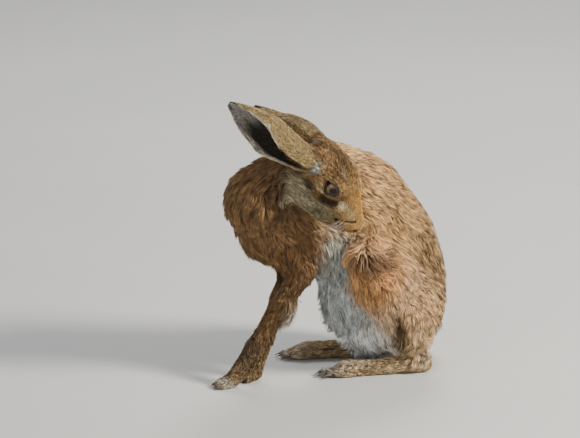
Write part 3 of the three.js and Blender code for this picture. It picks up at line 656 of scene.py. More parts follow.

# The markings of hide and coat: ticked buff-brown above, reddish on neck and legs, white below. Each region
# has its own ground colour and its share of black-tipped hairs, and soft patches lie over them where the
# animal is darker, redder or paler. A few grounds and patches carry painted light and shade instead, as said
# where they stand. Colours are told as they are seen, 0 to 255.


def paint(red, green, blue):
    """A colour as it is seen, 0 to 255, as the light it gives back."""
    seen = np.array([red, green, blue]) / 255
    return np.where(seen <= 0.04045, seen / 12.92, ((seen + 0.055) / 1.055) ** 2.4)


# Some grounds carry painted light and shade. The back's is lightened as painted light. The neck's and
# breast's are darkened, and the belly's white is dimmed and cooled, as painted shade. The hues are the hare's
# own.
REGION_LOOKS = {
    "muzzle": ((192, 150, 92), 0.12),
    "crown": ((164, 130, 88), 0.4),
    "cheek": ((156, 142, 112), 0.22),
    "neck": ((136, 106, 72), 0.05),
    "back": ((212, 172, 122), 0.42),
    "breast": ((136, 105, 70), 0.06),
    "belly": ((196, 201, 200), 0.0),
    "foreleg": ((122, 94, 62), 0.2),
    "paw": ((140, 116, 84), 0.3),
    "thigh": ((216, 178, 134), 0.1),
    "foot": ((190, 164, 124), 0.12),
    "tail": ((232, 232, 230), 0.0),
    "ear": ((188, 162, 114), 0.45),
}
WHITE = (240, 240, 238)
CREAM = (226, 212, 182)
PALE_BUFF = (214, 192, 158)
RUST = (196, 144, 92)
SOOT = (34, 30, 28)
# Painted shade for the muzzle's creases and nostrils.
CREASE_SHADE_COLOUR = paint(48, 34, 26)
LID_COLOUR = paint(58, 44, 36)

# Each patch: its middle, its three half-sizes, its colour, how far it covers, and its share of dark tips.
PATCHES = [
    ((108, -5, 120), (44, 70, 90), (198, 166, 120), 0.7, 0.52),
    ((66, -40, 178), (34, 40, 44), (216, 176, 126), 0.6, 0.32),
    ((44, -66, 128), (32, 30, 40), RUST, 0.85, 0.03),
    ((40, -84, 160), (26, 20, 14), (212, 176, 138), 0.8, 0.02),
    ((47, -79, 146), (17, 18, 9), (118, 92, 68), 0.95, 0.2),
    # Painted shadow: a dark strip on the near hind shin, in the fold between the heel and the belly.
    ((73, -58, 64), (11, 28, 32), (86, 64, 42), 0.95, 0.3),
    # Painted shadow on the neck just behind the cheek, which stands in front of it.
    ((-57, -110, 230), (14, 22, 30), (88, 64, 42), 0.9, 0.05),
    # Painted shade on the upper belly: a dimmer, cooler grey over its white.
    ((0, -52, 146), (22, 26, 26), (172, 176, 168), 0.85, 0.0),
    ((96, -50, 62), (16, 24, 30), (196, 168, 130), 0.7, 0.15),
    ((60, -62, 66), (11, 24, 26), PALE_BUFF, 0.8, 0.03),
    ((36, -46, 46), (34, 30, 30), WHITE, 0.95, 0.0),
    ((104, -24, 34), (20, 34, 22), PALE_BUFF, 0.85, 0.1),
    ((-62, -112, 262), (26, 30, 20), (136, 100, 72), 0.6, 0.2),
    ((-30, -70, 150), (30, 26, 34), (130, 98, 66), 0.7, 0.08),
    ((-86, -82, 44), (16, 16, 30), (112, 92, 72), 0.7, 0.5),
    ((-112, -90, 4), (12, 14, 10), (216, 206, 186), 0.9, 0.0),
    ((-50, -52, 112), (9, 16, 14), (180, 170, 154), 0.8, 0.0),
    ((-44, -66, 84), (9, 14, 22), (176, 166, 148), 0.85, 0.0),
    ((12, -44, 10), (16, 18, 14), (196, 182, 160), 0.7, 0.1),
    ((-30, 34, 8), (16, 18, 14), (196, 182, 160), 0.7, 0.1),
]
# On the head the patches lie on both sides alike. Their places are along the head's own axes.
HEAD_PATCHES = [
    ((-2, 20, 3), (16, 9, 13), (180, 146, 98), 0.8, 0.06),
    ((4, 25, -9), (11, 8, 3), (196, 172, 128), 0.7, 0.0),
    ((-17, 24, -7), (9, 9, 7), (152, 110, 70), 0.9, 0.15),
    ((-11, 27, -16), (10, 10, 6), (78, 60, 42), 0.9, 0.3),
    ((3, 26, -15), (9, 10, 5), (118, 84, 52), 0.95, 0.15),
    ((11, 23, -13), (9, 9, 6), (62, 44, 28), 1.0, 0.3),
    ((20, 19, -9), (9, 9, 6), (62, 44, 28), 1.0, 0.3),
    ((29, 14, -3), (9, 8, 5.5), (208, 194, 160), 0.95, 0.1),
    ((40, 12, -2), (9, 7, 5), (206, 182, 138), 0.8, 0.25),
    ((33, 14, -13), (10, 8, 6), (186, 156, 108), 0.7, 0.3),
    ((-27, 20, -2), (9, 9, 8), (178, 178, 168), 0.9, 0.15),
    ((-6, 13, 19), (5, 5, 3.5), PALE_BUFF, 0.6, 0.1),
    ((-4, 17, 15), (11, 5, 3), (104, 76, 46), 0.7, 0.4),
    ((-7, 28, -31), (20, 12, 11), (200, 186, 152), 0.8, 0.3),
    ((2, 16, -50), (26, 14, 6), CREAM, 0.8, 0.05),
    ((27, 12, -44), (14, 12, 6), CREAM, 0.75, 0.05),
    ((-36, 21, -33), (5, 9, 9), (84, 66, 50), 0.85, 0.3),
    ((-29, 25, -18), (5, 9, 9), (84, 66, 50), 0.85, 0.3),
    ((53, 10, -13), (10, 8, 7), (160, 126, 80), 0.75, 0.1),
    ((50, 8, -26), (12, 9, 8), (158, 124, 78), 0.8, 0.1),
    ((36, 0, 9), (26, 8, 9), (210, 160, 86), 0.9, 0.06),
    ((-12, 0, 20), (22, 15, 11), (124, 96, 64), 0.65, 0.55),
    ((-42, 18, -4), (8, 10, 8), (92, 72, 50), 0.8, 0.5),
    ((-56, 2, 3), (10, 10, 9), (228, 222, 210), 0.9, 0.03),
    ((62, 4.5, -12), (5, 5, 3), (96, 70, 52), 0.8, 0.1),
]
# An ear is black at the tip, ticked brown outside and pale behind. Its cup carries painted shade, dark in the
# middle, that pales to painted light in pale grey towards the tip, and it is edged with a cream fringe that
# runs down to its base. Soft steps lie between two shares of the ear's length, or between two turns from the
# mouth of its cup.
EAR_MOUTHS = {"right": np.array([-0.31, -0.83, -0.44]), "left": np.array([-0.45, 0.6, -0.6])}
EAR_STEPS = 40
EAR_GAPE, GAPE_OPENS, RIM_SOFTNESS = 1.2, (0.1, 0.6), (0.1, 0.5)
EAR_CUP_SHADE = paint(74, 66, 58)
EAR_CUP_LIGHT = paint(186, 180, 168)
EAR_BACK = paint(158, 142, 116)
EAR_FRINGE = paint(232, 222, 198)
BLACK_OUTSIDE, BLACK_INSIDE = (0.84, 0.93), (0.95, 0.99)
BACK_TURN, CUP_LIGHT_FROM, FRINGE_ENDS = (2.2, 2.7), (0.62, 0.8), (0.6, 0.85)
BACK_COVER, BACK_TICKS, FRINGE_COVER = 0.35, 0.3, 0.9
CUP_SIDE = (-0.25, 0.1)  # below it the surface looks towards the ear's middle line
EDGE_WANDER = 0.04
WANDER_WAVES = np.array([310.0, 170.0, 230.0])


def nearest_of(places, points):
    """The number of the nearest place to each point, and how far it lies."""
    tree = KDTree(len(places))
    for index, place in enumerate(places.tolist()):
        tree.insert(place, index)
    tree.balance()
    found = [tree.find(point) for point in points.tolist()]
    return np.array([hit[1] for hit in found]), np.array([hit[2] for hit in found])


def ear_line(points):
    """Evenly numbered places along an ear's smooth middle line, in the frame."""
    curve = np.array(points, float)
    curve = np.concatenate([2 * curve[:1] - curve[1:2], curve, 2 * curve[-1:] - curve[-2:-1]])
    t = np.linspace(0, 1, EAR_STEPS)[:, None]
    lengths = []
    for a, b, c, d in zip(curve, curve[1:], curve[2:], curve[3:]):
        bend = (2 * a - 5 * b + 4 * c - d) * t**2 + (3 * b - a - 3 * c + d) * t**3
        lengths.append(0.5 * (2 * b + (c - a) * t + bend))
    return placed(np.concatenate(lengths))


def ear_places(points, ways):
    """Where places lie on the nearest ear: along it, round it from its mouth, and 1 within its cup."""
    best = np.full(len(points), np.inf)
    share, turn, in_cup = np.zeros((3, len(points)))
    for side, path in EARS.items():
        line = ear_line(path)
        step_lengths = np.linalg.norm(np.diff(line, axis=0), axis=1)
        so_far = np.concatenate([[0], np.cumsum(step_lengths)]) / step_lengths.sum()
        nearest, distance = nearest_of(line, points)
        along = unit(np.gradient(line, axis=0))[nearest]
        mouth = EAR_MOUTHS[side] - (along @ EAR_MOUTHS[side])[:, None] * along
        out = points - line[nearest]
        out = unit(out - (out * along).sum(1)[:, None] * along)
        angle = np.arccos(np.clip((unit(mouth) * out).sum(1), -1, 1))
        cup = 1 - smooth(*CUP_SIDE, (out * ways).sum(1))
        closer = distance < best
        best = np.minimum(best, distance)
        share = np.where(closer, so_far[nearest], share)
        turn = np.where(closer, angle, turn)
        in_cup = np.where(closer, cup, in_cup)
    return share, turn, in_cup


def cup_rim(share, turn, in_cup):
    """1 at the rim of an ear's cup, falling to 0 within it. The cup gapes wider from its base up."""
    return in_cup * (1 - smooth(*RIM_SOFTNESS, turn - EAR_GAPE * smooth(*GAPE_OPENS, share)))


def ear_markings(points, ways, ground, dark_tips):
    """The ears' own colours, with painted shade and light in their cups, laid over the rest."""
    share, turn, in_cup = ear_places(points, ways)
    share = share + EDGE_WANDER * np.sin(points @ WANDER_WAVES)
    black = smooth(*BLACK_OUTSIDE, share) * (1 - in_cup) + smooth(*BLACK_INSIDE, share) * in_cup
    behind = smooth(*BACK_TURN, turn) * (1 - in_cup)
    # Painted shade deep in the cup, paling to painted light towards the tip.
    cup = EAR_CUP_SHADE + smooth(*CUP_LIGHT_FROM, share)[:, None] * (EAR_CUP_LIGHT - EAR_CUP_SHADE)
    rim = cup_rim(share, turn, in_cup)
    for cover_share, colour, ticks in (
        (BACK_COVER * behind, EAR_BACK, BACK_TICKS),
        (in_cup, cup, 0.0),
        (FRINGE_COVER * rim * (1 - smooth(*FRINGE_ENDS, share)), EAR_FRINGE, 0.0),
        (black, paint(*SOOT), 0.0),
    ):
        ground = ground + cover_share[:, None] * (colour - ground)
        dark_tips = dark_tips * (1 - cover_share) + ticks * cover_share
    return ground, dark_tips


PATCH_EDGE = (0.5, 1.25)


def cover(points, middle, half_sizes):
    """1 in the middle of a patch, 0 outside it, with a soft edge."""
    return 1 - smooth(*PATCH_EDGE, np.linalg.norm((points - middle) / half_sizes, axis=-1))


LEAST_EAR = 0.01
TAIL_TOP = (-0.1, 0.5)  # how far up the tail's surface looks
CREASE_SHADE_STRENGTH, CREASE_SIDES = 0.95, (0.1, 0.6)
RIM_MARGIN, RIM_DEPTH, DARK_RIM_ENDS = 5, 2, (1.02, 1.22)


def markings(points, ways, regions):
    """The ground colour and the share of dark-tipped hairs at places on the body."""
    ground = by_region(regions, {name: paint(*colour) for name, (colour, _) in REGION_LOOKS.items()})
    dark_tips = by_region(regions, {name: ticks for name, (_, ticks) in REGION_LOOKS.items()})
    local = along_head(points)
    local[:, 1] = np.abs(local[:, 1])
    spread = [(points, placed(patch[0]), np.array(patch[1]) / 1000, *patch[2:]) for patch in PATCHES]
    spread += [(local, *patch) for patch in HEAD_PATCHES]
    off_ears = 1 - regions["ear"]
    for places, middle, sizes, colour, strength, ticks in spread:
        share = cover(places, np.array(middle), np.array(sizes)) * strength * off_ears
        ground = ground + share[:, None] * (paint(*colour) - ground)
        dark_tips = dark_tips + share * (ticks - dark_tips)
    near = np.flatnonzero(regions["ear"] > LEAST_EAR)
    on_ear = regions["ear"][near]
    ear_ground, ear_ticks = ear_markings(points[near], ways[near], ground[near], dark_tips[near])
    ground[near] += on_ear[:, None] * (ear_ground - ground[near])
    dark_tips[near] += on_ear * (ear_ticks - dark_tips[near])
    # The tail is black above and the rim of the lids is dark. Painted shade darkens the muzzle's creases: the
    # line of the mouth, the fold over the lip, the nostrils and the cleft.
    from_ball, _, reach = from_eye(points)
    rim = beside_eye(from_ball, RIM_MARGIN, RIM_DEPTH) * (1 - smooth(*DARK_RIM_ENDS, reach))
    for share, colour in (
        (regions["tail"] * smooth(*TAIL_TOP, ways[:, 2]), paint(*SOOT)),
        (CREASE_SHADE_STRENGTH * smooth(*CREASE_SIDES, muzzle_creases(points)), CREASE_SHADE_COLOUR),
        (rim, LID_COLOUR),
    ):
        ground = ground + share[:, None] * (colour - ground)
    return ground, dark_tips * (1 - rim)


def ranged(tree, value, low, high, to_low, to_high):
    """A value stretched from one range to another, and held at its ends."""
    inputs = {"Value": value, "From Min": low, "From Max": high, "To Min": to_low, "To Max": to_high}
    return result(tree, "MapRange", "Result", inputs)


def kept_value(tree, name, output="Fac"):
    """A number kept at every corner of the mesh, or with the output Color a colour."""
    return result(tree, "Attribute", output, {}, attribute_name=name)


def product(tree, one, other):
    """One value times another."""
    return result(tree, "Math", "Value", {0: one, 1: other}, operation="MULTIPLY")


def scaled(tree, colour, tone):
    """A colour made darker or lighter by a tone."""
    return result(tree, "VectorMath", "Vector", {0: colour, "Scale": tone}, operation="SCALE")


# The skin's finish: thin hide with the short hair's grain as a fine bump and as flecks of colour.
hide, tree, shader = new_material("hide", {"Roughness": 0.75, "Specular IOR Level": 0.2})
hair_grain = result(tree, "TexNoise", "Fac", {"Scale": 900.0, "Detail": 3.0})
grain_tone = ranged(tree, hair_grain, 0.0, 1.0, 0.5, 0.95)
flecked = scaled(tree, kept_value(tree, "ground", "Color"), grain_tone)
bump = result(tree, "Bump", "Normal", {"Strength": 0.6, "Distance": 0.0006, "Height": hair_grain})
tree.links.new(flecked, shader.inputs["Base Color"])
tree.links.new(bump, shader.inputs["Normal"])

skin_way = corner_ways(skin_places, skin_faces)
skin_ground, _ = markings(skin_places, skin_way, region_shares(limb_shares(skin_places)))
keep_values(skin_mesh, "ground", skin_ground)
skin = new_piece("skin", skin_mesh, hide)
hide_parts(*flesh_names)

# The skin's unwrap is cut where it turns sharply, so that every place on it has its own place on the map.
SHARP_TURN = math.radians(60)
ISLAND_MARGIN = 0.001
for other in bpy.context.selected_objects:
    other.select_set(False)
bpy.context.view_layer.objects.active = skin
skin.select_set(True)
skin_mesh.uv_layers.new(name="OFBake")
bpy.ops.object.mode_set(mode="EDIT")
bpy.ops.mesh.select_all(action="SELECT")
bpy.ops.uv.smart_project(angle_limit=SHARP_TURN, island_margin=ISLAND_MARGIN)
bpy.ops.object.mode_set(mode="OBJECT")
face_map = read_all(skin_mesh.uv_layers["OFBake"].uv, "vector", 2).reshape(-1, 4, 2).mean(1)

# The coat: guard hairs and underfur in thin tapered tufts, which overlap like tiles along their lie.
# Neighbouring tufts draw together into locks, longer and more crimped on the neck and belly, and so
# short on the face, ears and feet that they barely part from the skin.

# Millimetres: tuft length, width, height of its tip over the skin, sideways wave, size of a lock, and skin
# per tuft in square millimetres. The pull is how far a lock draws its tufts together, from 0 to 1.
TUFTS = {
    #          length width height wave lock area pull down
    "muzzle": (3.4, 0.6, 1.0, 0.0, 2.0, 0.75, 0.2, 0.0),
    "crown": (7.0, 0.7, 2.4, 0.1, 3.5, 0.95, 0.4, 0.0),
    "cheek": (8.5, 0.7, 3.0, 0.2, 3.5, 1.0, 0.4, 0.1),
    "neck": (24.0, 1.0, 9.6, 1.8, 6.5, 1.8, 0.75, 0.7),
    "back": (16.0, 1.0, 6.2, 0.3, 4.5, 1.35, 0.5, 0.15),
    "breast": (24.0, 1.0, 9.6, 1.8, 6.5, 1.8, 0.75, 0.8),
    "belly": (26.0, 1.0, 10.4, 2.6, 7.0, 1.9, 0.75, 1.2),
    "foreleg": (10.0, 1.0, 3.4, 0.2, 4.0, 1.5, 0.5, 0.0),
    "paw": (7.0, 0.9, 2.4, 0.1, 3.5, 1.4, 0.45, 0.0),
    "thigh": (20.0, 1.05, 7.4, 1.1, 6.0, 1.8, 0.65, 0.6),
    "foot": (9.0, 1.0, 2.6, 0.3, 4.0, 1.5, 0.5, 0.0),
    "tail": (16.0, 1.0, 5.0, 0.6, 5.0, 2.0, 0.5, 0.0),
    "ear": (5.0, 0.7, 0.9, 0.0, 2.5, 1.4, 0.3, 0.0),
}
LENGTH, WIDTH, HEIGHT, WAVE, LOCK, AREA, PULL, DOWN = range(8)
# Where the coat is ruffled or hangs in a fringe. Each place has its middle, its half-sizes, the way its hair
# is drawn, how strongly, and how many times longer and higher the tufts are there, and how unruly.
RUFFLED = [
    ((36, -86, 158), (24, 24, 20), (-0.5, -0.3, 0.9), 1.6, 1.2, 1.9, 0.5),
    ((52, -84, 140), (20, 20, 20), (0.6, -0.2, -0.2), 1.2, 1.0, 1.5, 0.5),
    ((-44, -66, 84), (11, 14, 24), (0.9, 0.0, -0.9), 1.4, 2.3, 4.6, 0.3),
    ((-36, -12, 80), (11, 14, 24), (0.9, 0.0, -0.9), 1.4, 2.3, 4.6, 0.3),
    ((-48, -50, 114), (14, 18, 12), (-0.2, 0.0, -1.0), 0.8, 1.2, 1.6, 0.3),
    ((94, -44, 50), (36, 42, 16), (0.0, -0.2, -1.0), 1.4, 1.2, 1.9, 0.25),
    ((100, 40, 52), (36, 42, 18), (0.2, 0.2, -1.0), 1.2, 1.2, 1.6, 0.3),
    ((24, -48, 38), (46, 36, 28), (-0.6, -0.4, -1.0), 1.2, 1.45, 2.7, 0.5),
    ((2, -40, 76), (18, 30, 34), (-0.5, -0.3, -1.0), 0.7, 1.2, 1.6, 0.4),
    ((-98, -60, 160), (30, 34, 40), (0.0, 0.0, -0.6), 0.4, 1.0, 1.2, 0.25),
]
UNRULY = 0.12  # how far tufts turn from the lie elsewhere
TUFT_RISE = 0.75  # below 1 a tuft rises more steeply at its root
# A tuft is made of 2 or 3 bands. Each band starts at a share of its length with a share of its width.
RING_STEPS = {2: (0.0, 0.5, 1.0), 3: (0.0, 0.4, 0.75, 1.0)}
RING_WIDTHS = {2: (0.9, 0.9), 3: (0.8, 1.0, 0.65)}
TUFT_RIDGE = 0.9
MOST_TRIANGLES = 190000
PATCH_ACROSS = 0.003  # of the map, for each tuft
LEAST_HEIGHT = 0.0009

face_corners = skin_places[skin_faces]
face_middle = face_corners.mean(1)
face_area = np.linalg.norm(face_ways(skin_places, skin_faces), axis=1) / 2
face_normal = unit(skin_way[skin_faces].sum(1))
face_limbs = limb_shares(face_middle)
face_regions = region_shares(face_limbs)
tuft_table = by_region(face_regions, TUFTS)
face_lay = face_limbs @ unit(LIMB_WAYS)
face_lay[:, 2] -= tuft_table[:, DOWN]
face_unruly = np.full(len(face_middle), UNRULY)
for middle, sizes, drawn, strength, longer, higher, unruly in RUFFLED:
    share = cover(face_middle, placed(middle), np.array(sizes) / 1000)
    face_lay += (share * strength)[:, None] * unit(np.array(drawn))
    tuft_table[:, LENGTH] *= 1 + share * (longer - 1)
    tuft_table[:, HEIGHT] *= 1 + share * (higher - 1)
    face_unruly = np.maximum(face_unruly, share * unruly)
# The cup of an ear is nearly bare but for the longer fringe along its rim, which ends before the tip.
FRINGE_LONGER, FRINGE_HIGHER, BARE_CUP = 1.1, 1.6, 1.2
LONG_FRINGE_ENDS, MOSTLY_EAR = (0.75, 0.95), 0.3
on_ears = np.flatnonzero(face_regions["ear"] > MOSTLY_EAR)
ear_along, ear_turn, in_cup = ear_places(face_middle[on_ears], face_normal[on_ears])
fringe = cup_rim(ear_along, ear_turn, in_cup) * (1 - smooth(*LONG_FRINGE_ENDS, ear_along))
tuft_table[on_ears, LENGTH] *= 1 + FRINGE_LONGER * fringe
tuft_table[on_ears, HEIGHT] *= 1 + FRINGE_HIGHER * fringe
tuft_table[on_ears, AREA] *= 1 + BARE_CUP * in_cup * (1 - fringe)
# The streams of the coat wander a little, so that no two places lie quite alike.
WANDER = 0.16
WANDER_TURNS = (90, 140, 210, 300)
LAST_PHASE = 6.3
swirl = sum(
    np.sin(face_middle @ unit(random.normal(size=3)) * turns + random.uniform(0, LAST_PHASE))
    for turns in WANDER_TURNS
)
sideways = unit(np.cross(face_normal, face_lay))
face_lay = face_lay + WANDER * swirl[:, None] * sideways
face_lay = unit(face_lay - (face_lay * face_normal).sum(1)[:, None] * face_normal)

# Roots are set one by one over the skin, evenly by its area.
tufts_so_far = np.cumsum(face_area * 1e6 / tuft_table[:, AREA])
tuft_count = int(tufts_so_far[-1])
root_face = np.searchsorted(tufts_so_far, np.arange(tuft_count) + random.uniform(0, 1, tuft_count))
root_face = np.clip(root_face, 0, len(skin_faces) - 1)
across, along = random.uniform(0, 1, (2, tuft_count, 1))
first, second, third, fourth = face_corners[root_face].transpose(1, 0, 2)
near_side = first * (1 - across) + second * across
far_side = fourth * (1 - across) + third * across
roots = near_side * (1 - along) + far_side * along

# Each tuft differs a little from the table in length, height and width, from the first share to the second.
VARIATION = ((LENGTH, 0.8, 1.2), (HEIGHT, 0.6, 1.05), (WIDTH, 0.75, 1.2))
table = tuft_table[root_face]
lengths, heights, widths = (
    table[:, size] / 1000 * random.uniform(least, most, tuft_count) for size, least, most in VARIATION
)
yaw = random.normal(0, 1, tuft_count) * face_unruly[root_face]
strand = random.uniform(0, 1, tuft_count)
root_regions = region_shares(limb_shares(roots))
root_ground, root_ticks = markings(roots, face_normal[root_face], root_regions)
main_region = np.array(REGIONS)[np.argmax(np.stack([root_regions[name] for name in REGIONS], 1), 1)]

# Locks: every few millimetres one tuft leads, and those around it lean to its line. Dark tips come in
# streaks: some locks have many and others few, and each lock has its own tone.
LOCK_FILL = 0.8  # the skin under a lock, as a share of the square about it
LOCK_UNRULY, LOCK_HEIGHTS, LOCK_TICKS, LOCK_TONES = 1.6, (0.8, 1.25), (0.2, 1.9), (0.72, 1.26)
leaders_so_far = np.cumsum(table[:, AREA] / (table[:, LOCK] ** 2 * LOCK_FILL))
leaders = np.unique(np.searchsorted(leaders_so_far, np.arange(int(leaders_so_far[-1])) + 0.5))
leader_of, _ = nearest_of(roots[leaders], roots)
yaw[leaders] += random.normal(0, LOCK_UNRULY, len(leaders)) * face_unruly[root_face[leaders]]
heights[leaders] *= random.uniform(*LOCK_HEIGHTS, len(leaders))
wave_phase = random.uniform(0, LAST_PHASE, len(leaders))[leader_of]
root_ticks = root_ticks * random.uniform(*LOCK_TICKS, len(leaders))[leader_of]
# A ticked tuft is longer and thinner than the others.
TICKED_LONGER, TICKED_THINNER = 1.15, 0.7
is_ticked = random.uniform(0, 1, tuft_count) < root_ticks
widths[is_ticked] *= TICKED_THINNER
lengths[is_ticked] *= TICKED_LONGER
root_ground = root_ground * random.uniform(*LOCK_TONES, len(leaders))[leader_of][:, None]
# No tuft starts on the eye or right at the lids' edge, nor in the creases of the muzzle, nor so close before
# a crease that it would lie across.
BARE_MARGIN, BARE_DEPTH, BARE_REACH, BARE_CREASE = 5, 3, 1.2, 0.3
CREASE_AHEAD = 0.002
from_ball, _, reach = from_eye(roots)
crease_ahead = muzzle_creases(roots + CREASE_AHEAD * face_lay[root_face])
bare = beside_eye(from_ball, BARE_MARGIN, BARE_DEPTH) & (reach < BARE_REACH)
bare |= np.maximum(muzzle_creases(roots), crease_ahead) > BARE_CREASE

skin_tree = BVHTree.FromPolygons([tuple(p) for p in skin_places], [tuple(f) for f in skin_faces])


def on_skin(points):
    """The nearest places on the skin, and the faces they lie on."""
    found = [skin_tree.find_nearest(point) for point in points.tolist()]
    return np.array([tuple(hit[0]) for hit in found]), np.array([hit[2] for hit in found])


def turned(ways, normals, angles):
    """Ways turned about the normals."""
    return ways * np.cos(angles)[:, None] + np.cross(normals, ways) * np.sin(angles)[:, None]


def tuft_lines(chosen, steps):
    """The line of each chosen tuft: its places from root to tip, and the skin's outward way at each."""
    foot, foot_face = roots[chosen], root_face[chosen]
    line, ways = [foot], [face_normal[foot_face]]
    for before, now in zip(steps, steps[1:]):
        lay = turned(face_lay[foot_face], face_normal[foot_face], yaw[chosen])
        foot, foot_face = on_skin(foot + lay * (lengths[chosen] * (now - before))[:, None])
        line.append(foot + face_normal[foot_face] * (heights[chosen] * now**TUFT_RISE)[:, None])
        ways.append(face_normal[foot_face])
    return np.stack(line, 1), np.stack(ways, 1)


def coat_mesh(name, line, ways, segments, chosen):
    """One mesh of closed three-sided tufts along their lines."""
    count = len(line)
    steps = RING_STEPS[segments]
    forward = unit(np.gradient(line, axis=1))
    side = unit(np.cross(forward, ways))
    top = np.cross(side, forward)
    rings = []
    for ring, width in enumerate(RING_WIDTHS[segments]):
        middle = line[:, ring]
        half = (widths[chosen] * width / 2)[:, None]
        rings += [
            middle - half * side[:, ring],
            middle + half * side[:, ring],
            middle + TUFT_RIDGE * half * top[:, ring],
        ]
    corners = np.stack([*rings, line[:, -1]], 1)
    per_tuft = corners.shape[1]
    pattern = [(0, 1, 2)]
    for base in range(0, 3 * (segments - 1), 3):
        for one, other in ((0, 1), (1, 2), (2, 0)):
            pattern.append((base + one, base + 3 + one, base + 3 + other))
            pattern.append((base + one, base + 3 + other, base + other))
    last, tip = per_tuft - 4, per_tuft - 1
    pattern += [(last, tip, last + 1), (last + 1, tip, last + 2), (last + 2, tip, last)]
    faces = (np.array(pattern)[None] + (np.arange(count) * per_tuft)[:, None, None]).reshape(-1, 3)
    mesh = mesh_of(name, corners.reshape(-1, 3), faces)
    step_of_corner = np.array([*np.repeat(steps[:-1], 3), 1.0])
    keep_values(mesh, "along", np.tile(step_of_corner, count))
    # The ridge mark: 1 along each tuft's ridge and at its tip, for the painted highlight there.
    keep_values(mesh, "middle", np.tile([*([0.0, 0.0, 1.0] * segments), 1.0], count))
    keep_values(mesh, "strand", np.repeat(strand[chosen], per_tuft))
    keep_values(mesh, "ticking", np.repeat(is_ticked[chosen].astype(float), per_tuft))
    keep_values(mesh, "ground", np.repeat(root_ground[chosen], per_tuft, axis=0))
    across_patch = np.array([*([-0.5, 0.5, 0.0] * segments), 0.0])
    place = face_map[root_face[chosen]][:, None]
    place = place + PATCH_ACROSS * np.stack([across_patch, step_of_corner - 0.5], 1)[None]
    mesh.uv_layers.new(name="OFBake")
    place = place.reshape(-1, 2)[faces.ravel()]
    mesh.uv_layers["OFBake"].uv.foreach_set("vector", place.astype(np.float32).ravel())
    return mesh


fur, tree, shader = new_material("fur", {"Roughness": 0.6, "Specular IOR Level": 0.25})
along_hair = kept_value(tree, "along")
# From root to tip a hair is grey-brown, then its ground colour, then a little paler; the dark root is partly
# grey underfur and partly painted shade deep in the coat. Each tuft is a little lighter or darker than the
# next, with a painted highlight along its ridge and painted shade at its edges.
root_to_tip = ranged(tree, along_hair, 0.0, 0.7, 0.42, 1.14)
strand_tone = ranged(tree, kept_value(tree, "strand"), 0.0, 1.0, 0.64, 1.34)
ridge_highlight = ranged(tree, kept_value(tree, "middle"), 0.0, 1.0, 0.88, 1.1)
tone = product(tree, product(tree, root_to_tip, strand_tone), ridge_highlight)
toned = scaled(tree, kept_value(tree, "ground", "Color"), tone)
# A ticked tuft is blackish brown over its outer half.
TICK_COLOUR = (*paint(74, 56, 40), 1)
outer_half = ranged(tree, along_hair, 0.45, 0.7, 0.0, 1.0)
dark_tip = product(tree, kept_value(tree, "ticking"), outer_half)
colours = {"Factor": dark_tip, "A": toned, "B": TICK_COLOUR}
tree.links.new(result(tree, "Mix", "Result", colours, data_type="RGBA"), shader.inputs["Base Color"])

# Each piece of coat: the name of a finish, which is not used, as every piece takes the fur; how many bands
# make up a tuft; and its regions. A tuft leans to its leader more and more towards its tip, and its wave
# grows towards the tip as well.
COAT_PIECES = {
    "coat_back": ("back_coat", 2, ("back",)),
    "coat_flank": ("flank_coat", 3, ("thigh",)),
    "coat_neck": ("breast_coat", 3, ("neck", "breast")),
    "coat_belly": ("belly_coat", 3, ("belly",)),
    "coat_legs": ("flank_coat", 2, ("foreleg", "paw", "foot")),
    "coat_head": ("back_coat", 2, ("muzzle", "crown", "cheek")),
    "coat_ears": ("back_coat", 2, ("ear",)),
    "coat_tail": ("tail_coat", 3, ("tail",)),
}
LEAN_CURVE = 1.2
WAVE_TURNS = 9.0
for name, (slot, segments, names) in COAT_PIECES.items():
    steps = RING_STEPS[segments]
    rise = np.array(steps)[None]
    all_members = np.flatnonzero(np.isin(main_region, names) & ~bare)
    triangles_of_tuft = 6 * segments - 2
    part_count = int(np.ceil(len(all_members) * triangles_of_tuft / MOST_TRIANGLES))
    for part, members in enumerate(np.array_split(all_members, part_count)):
        part_name = f"{name}_{part + 1}" if part_count > 1 else name
        line, ways = tuft_lines(members, steps)
        lead, back_to = np.unique(leaders[leader_of[members]], return_inverse=True)
        lead_line, _ = tuft_lines(lead, steps)
        pull = table[members, PULL][:, None] * rise**LEAN_CURVE
        line = line + pull[..., None] * (lead_line[back_to] - line)
        side = unit(np.cross(unit(np.gradient(line, axis=1)), ways))
        wave = np.sin(rise * WAVE_TURNS + wave_phase[members][:, None]) * rise
        line = line + side * (wave * table[members, WAVE][:, None] / 1000)[..., None]
        line[..., 2] = np.maximum(line[..., 2], LEAST_HEIGHT)
        new_piece(part_name, coat_mesh(part_name, line, ways, segments, members), fur)

# The eyes: two dark balls set deep in the head, with a round black pupil, an amber-brown iris and a wet
# shine. Each lies behind a bare black lid rim, a soft roll of skin that closes the almond opening.
EYE_RINGS = 48
EYE_ROUND = 64
IRIS_REACH = math.radians(56) / math.pi
PUPIL_REACH = math.radians(26) / math.pi
EYE_WAY = unit(np.array([0.24, 1.0, 0.12]))
RIM_WIDTH, RIM_OUTWARD = 1.15, 0.55
RIM_THICKNESS, RIM_LIFT = 0.75, 0.3
RIM_CLEARANCE = 0.2
RIM_LEAST_HEIGHT = 2.0
RIM_STEPS = 48
RIM_SIDES = 10
CORNER_SLIMNESS, SLIM_PART, ALMOND_END = 0.6, 5.0, 9.9

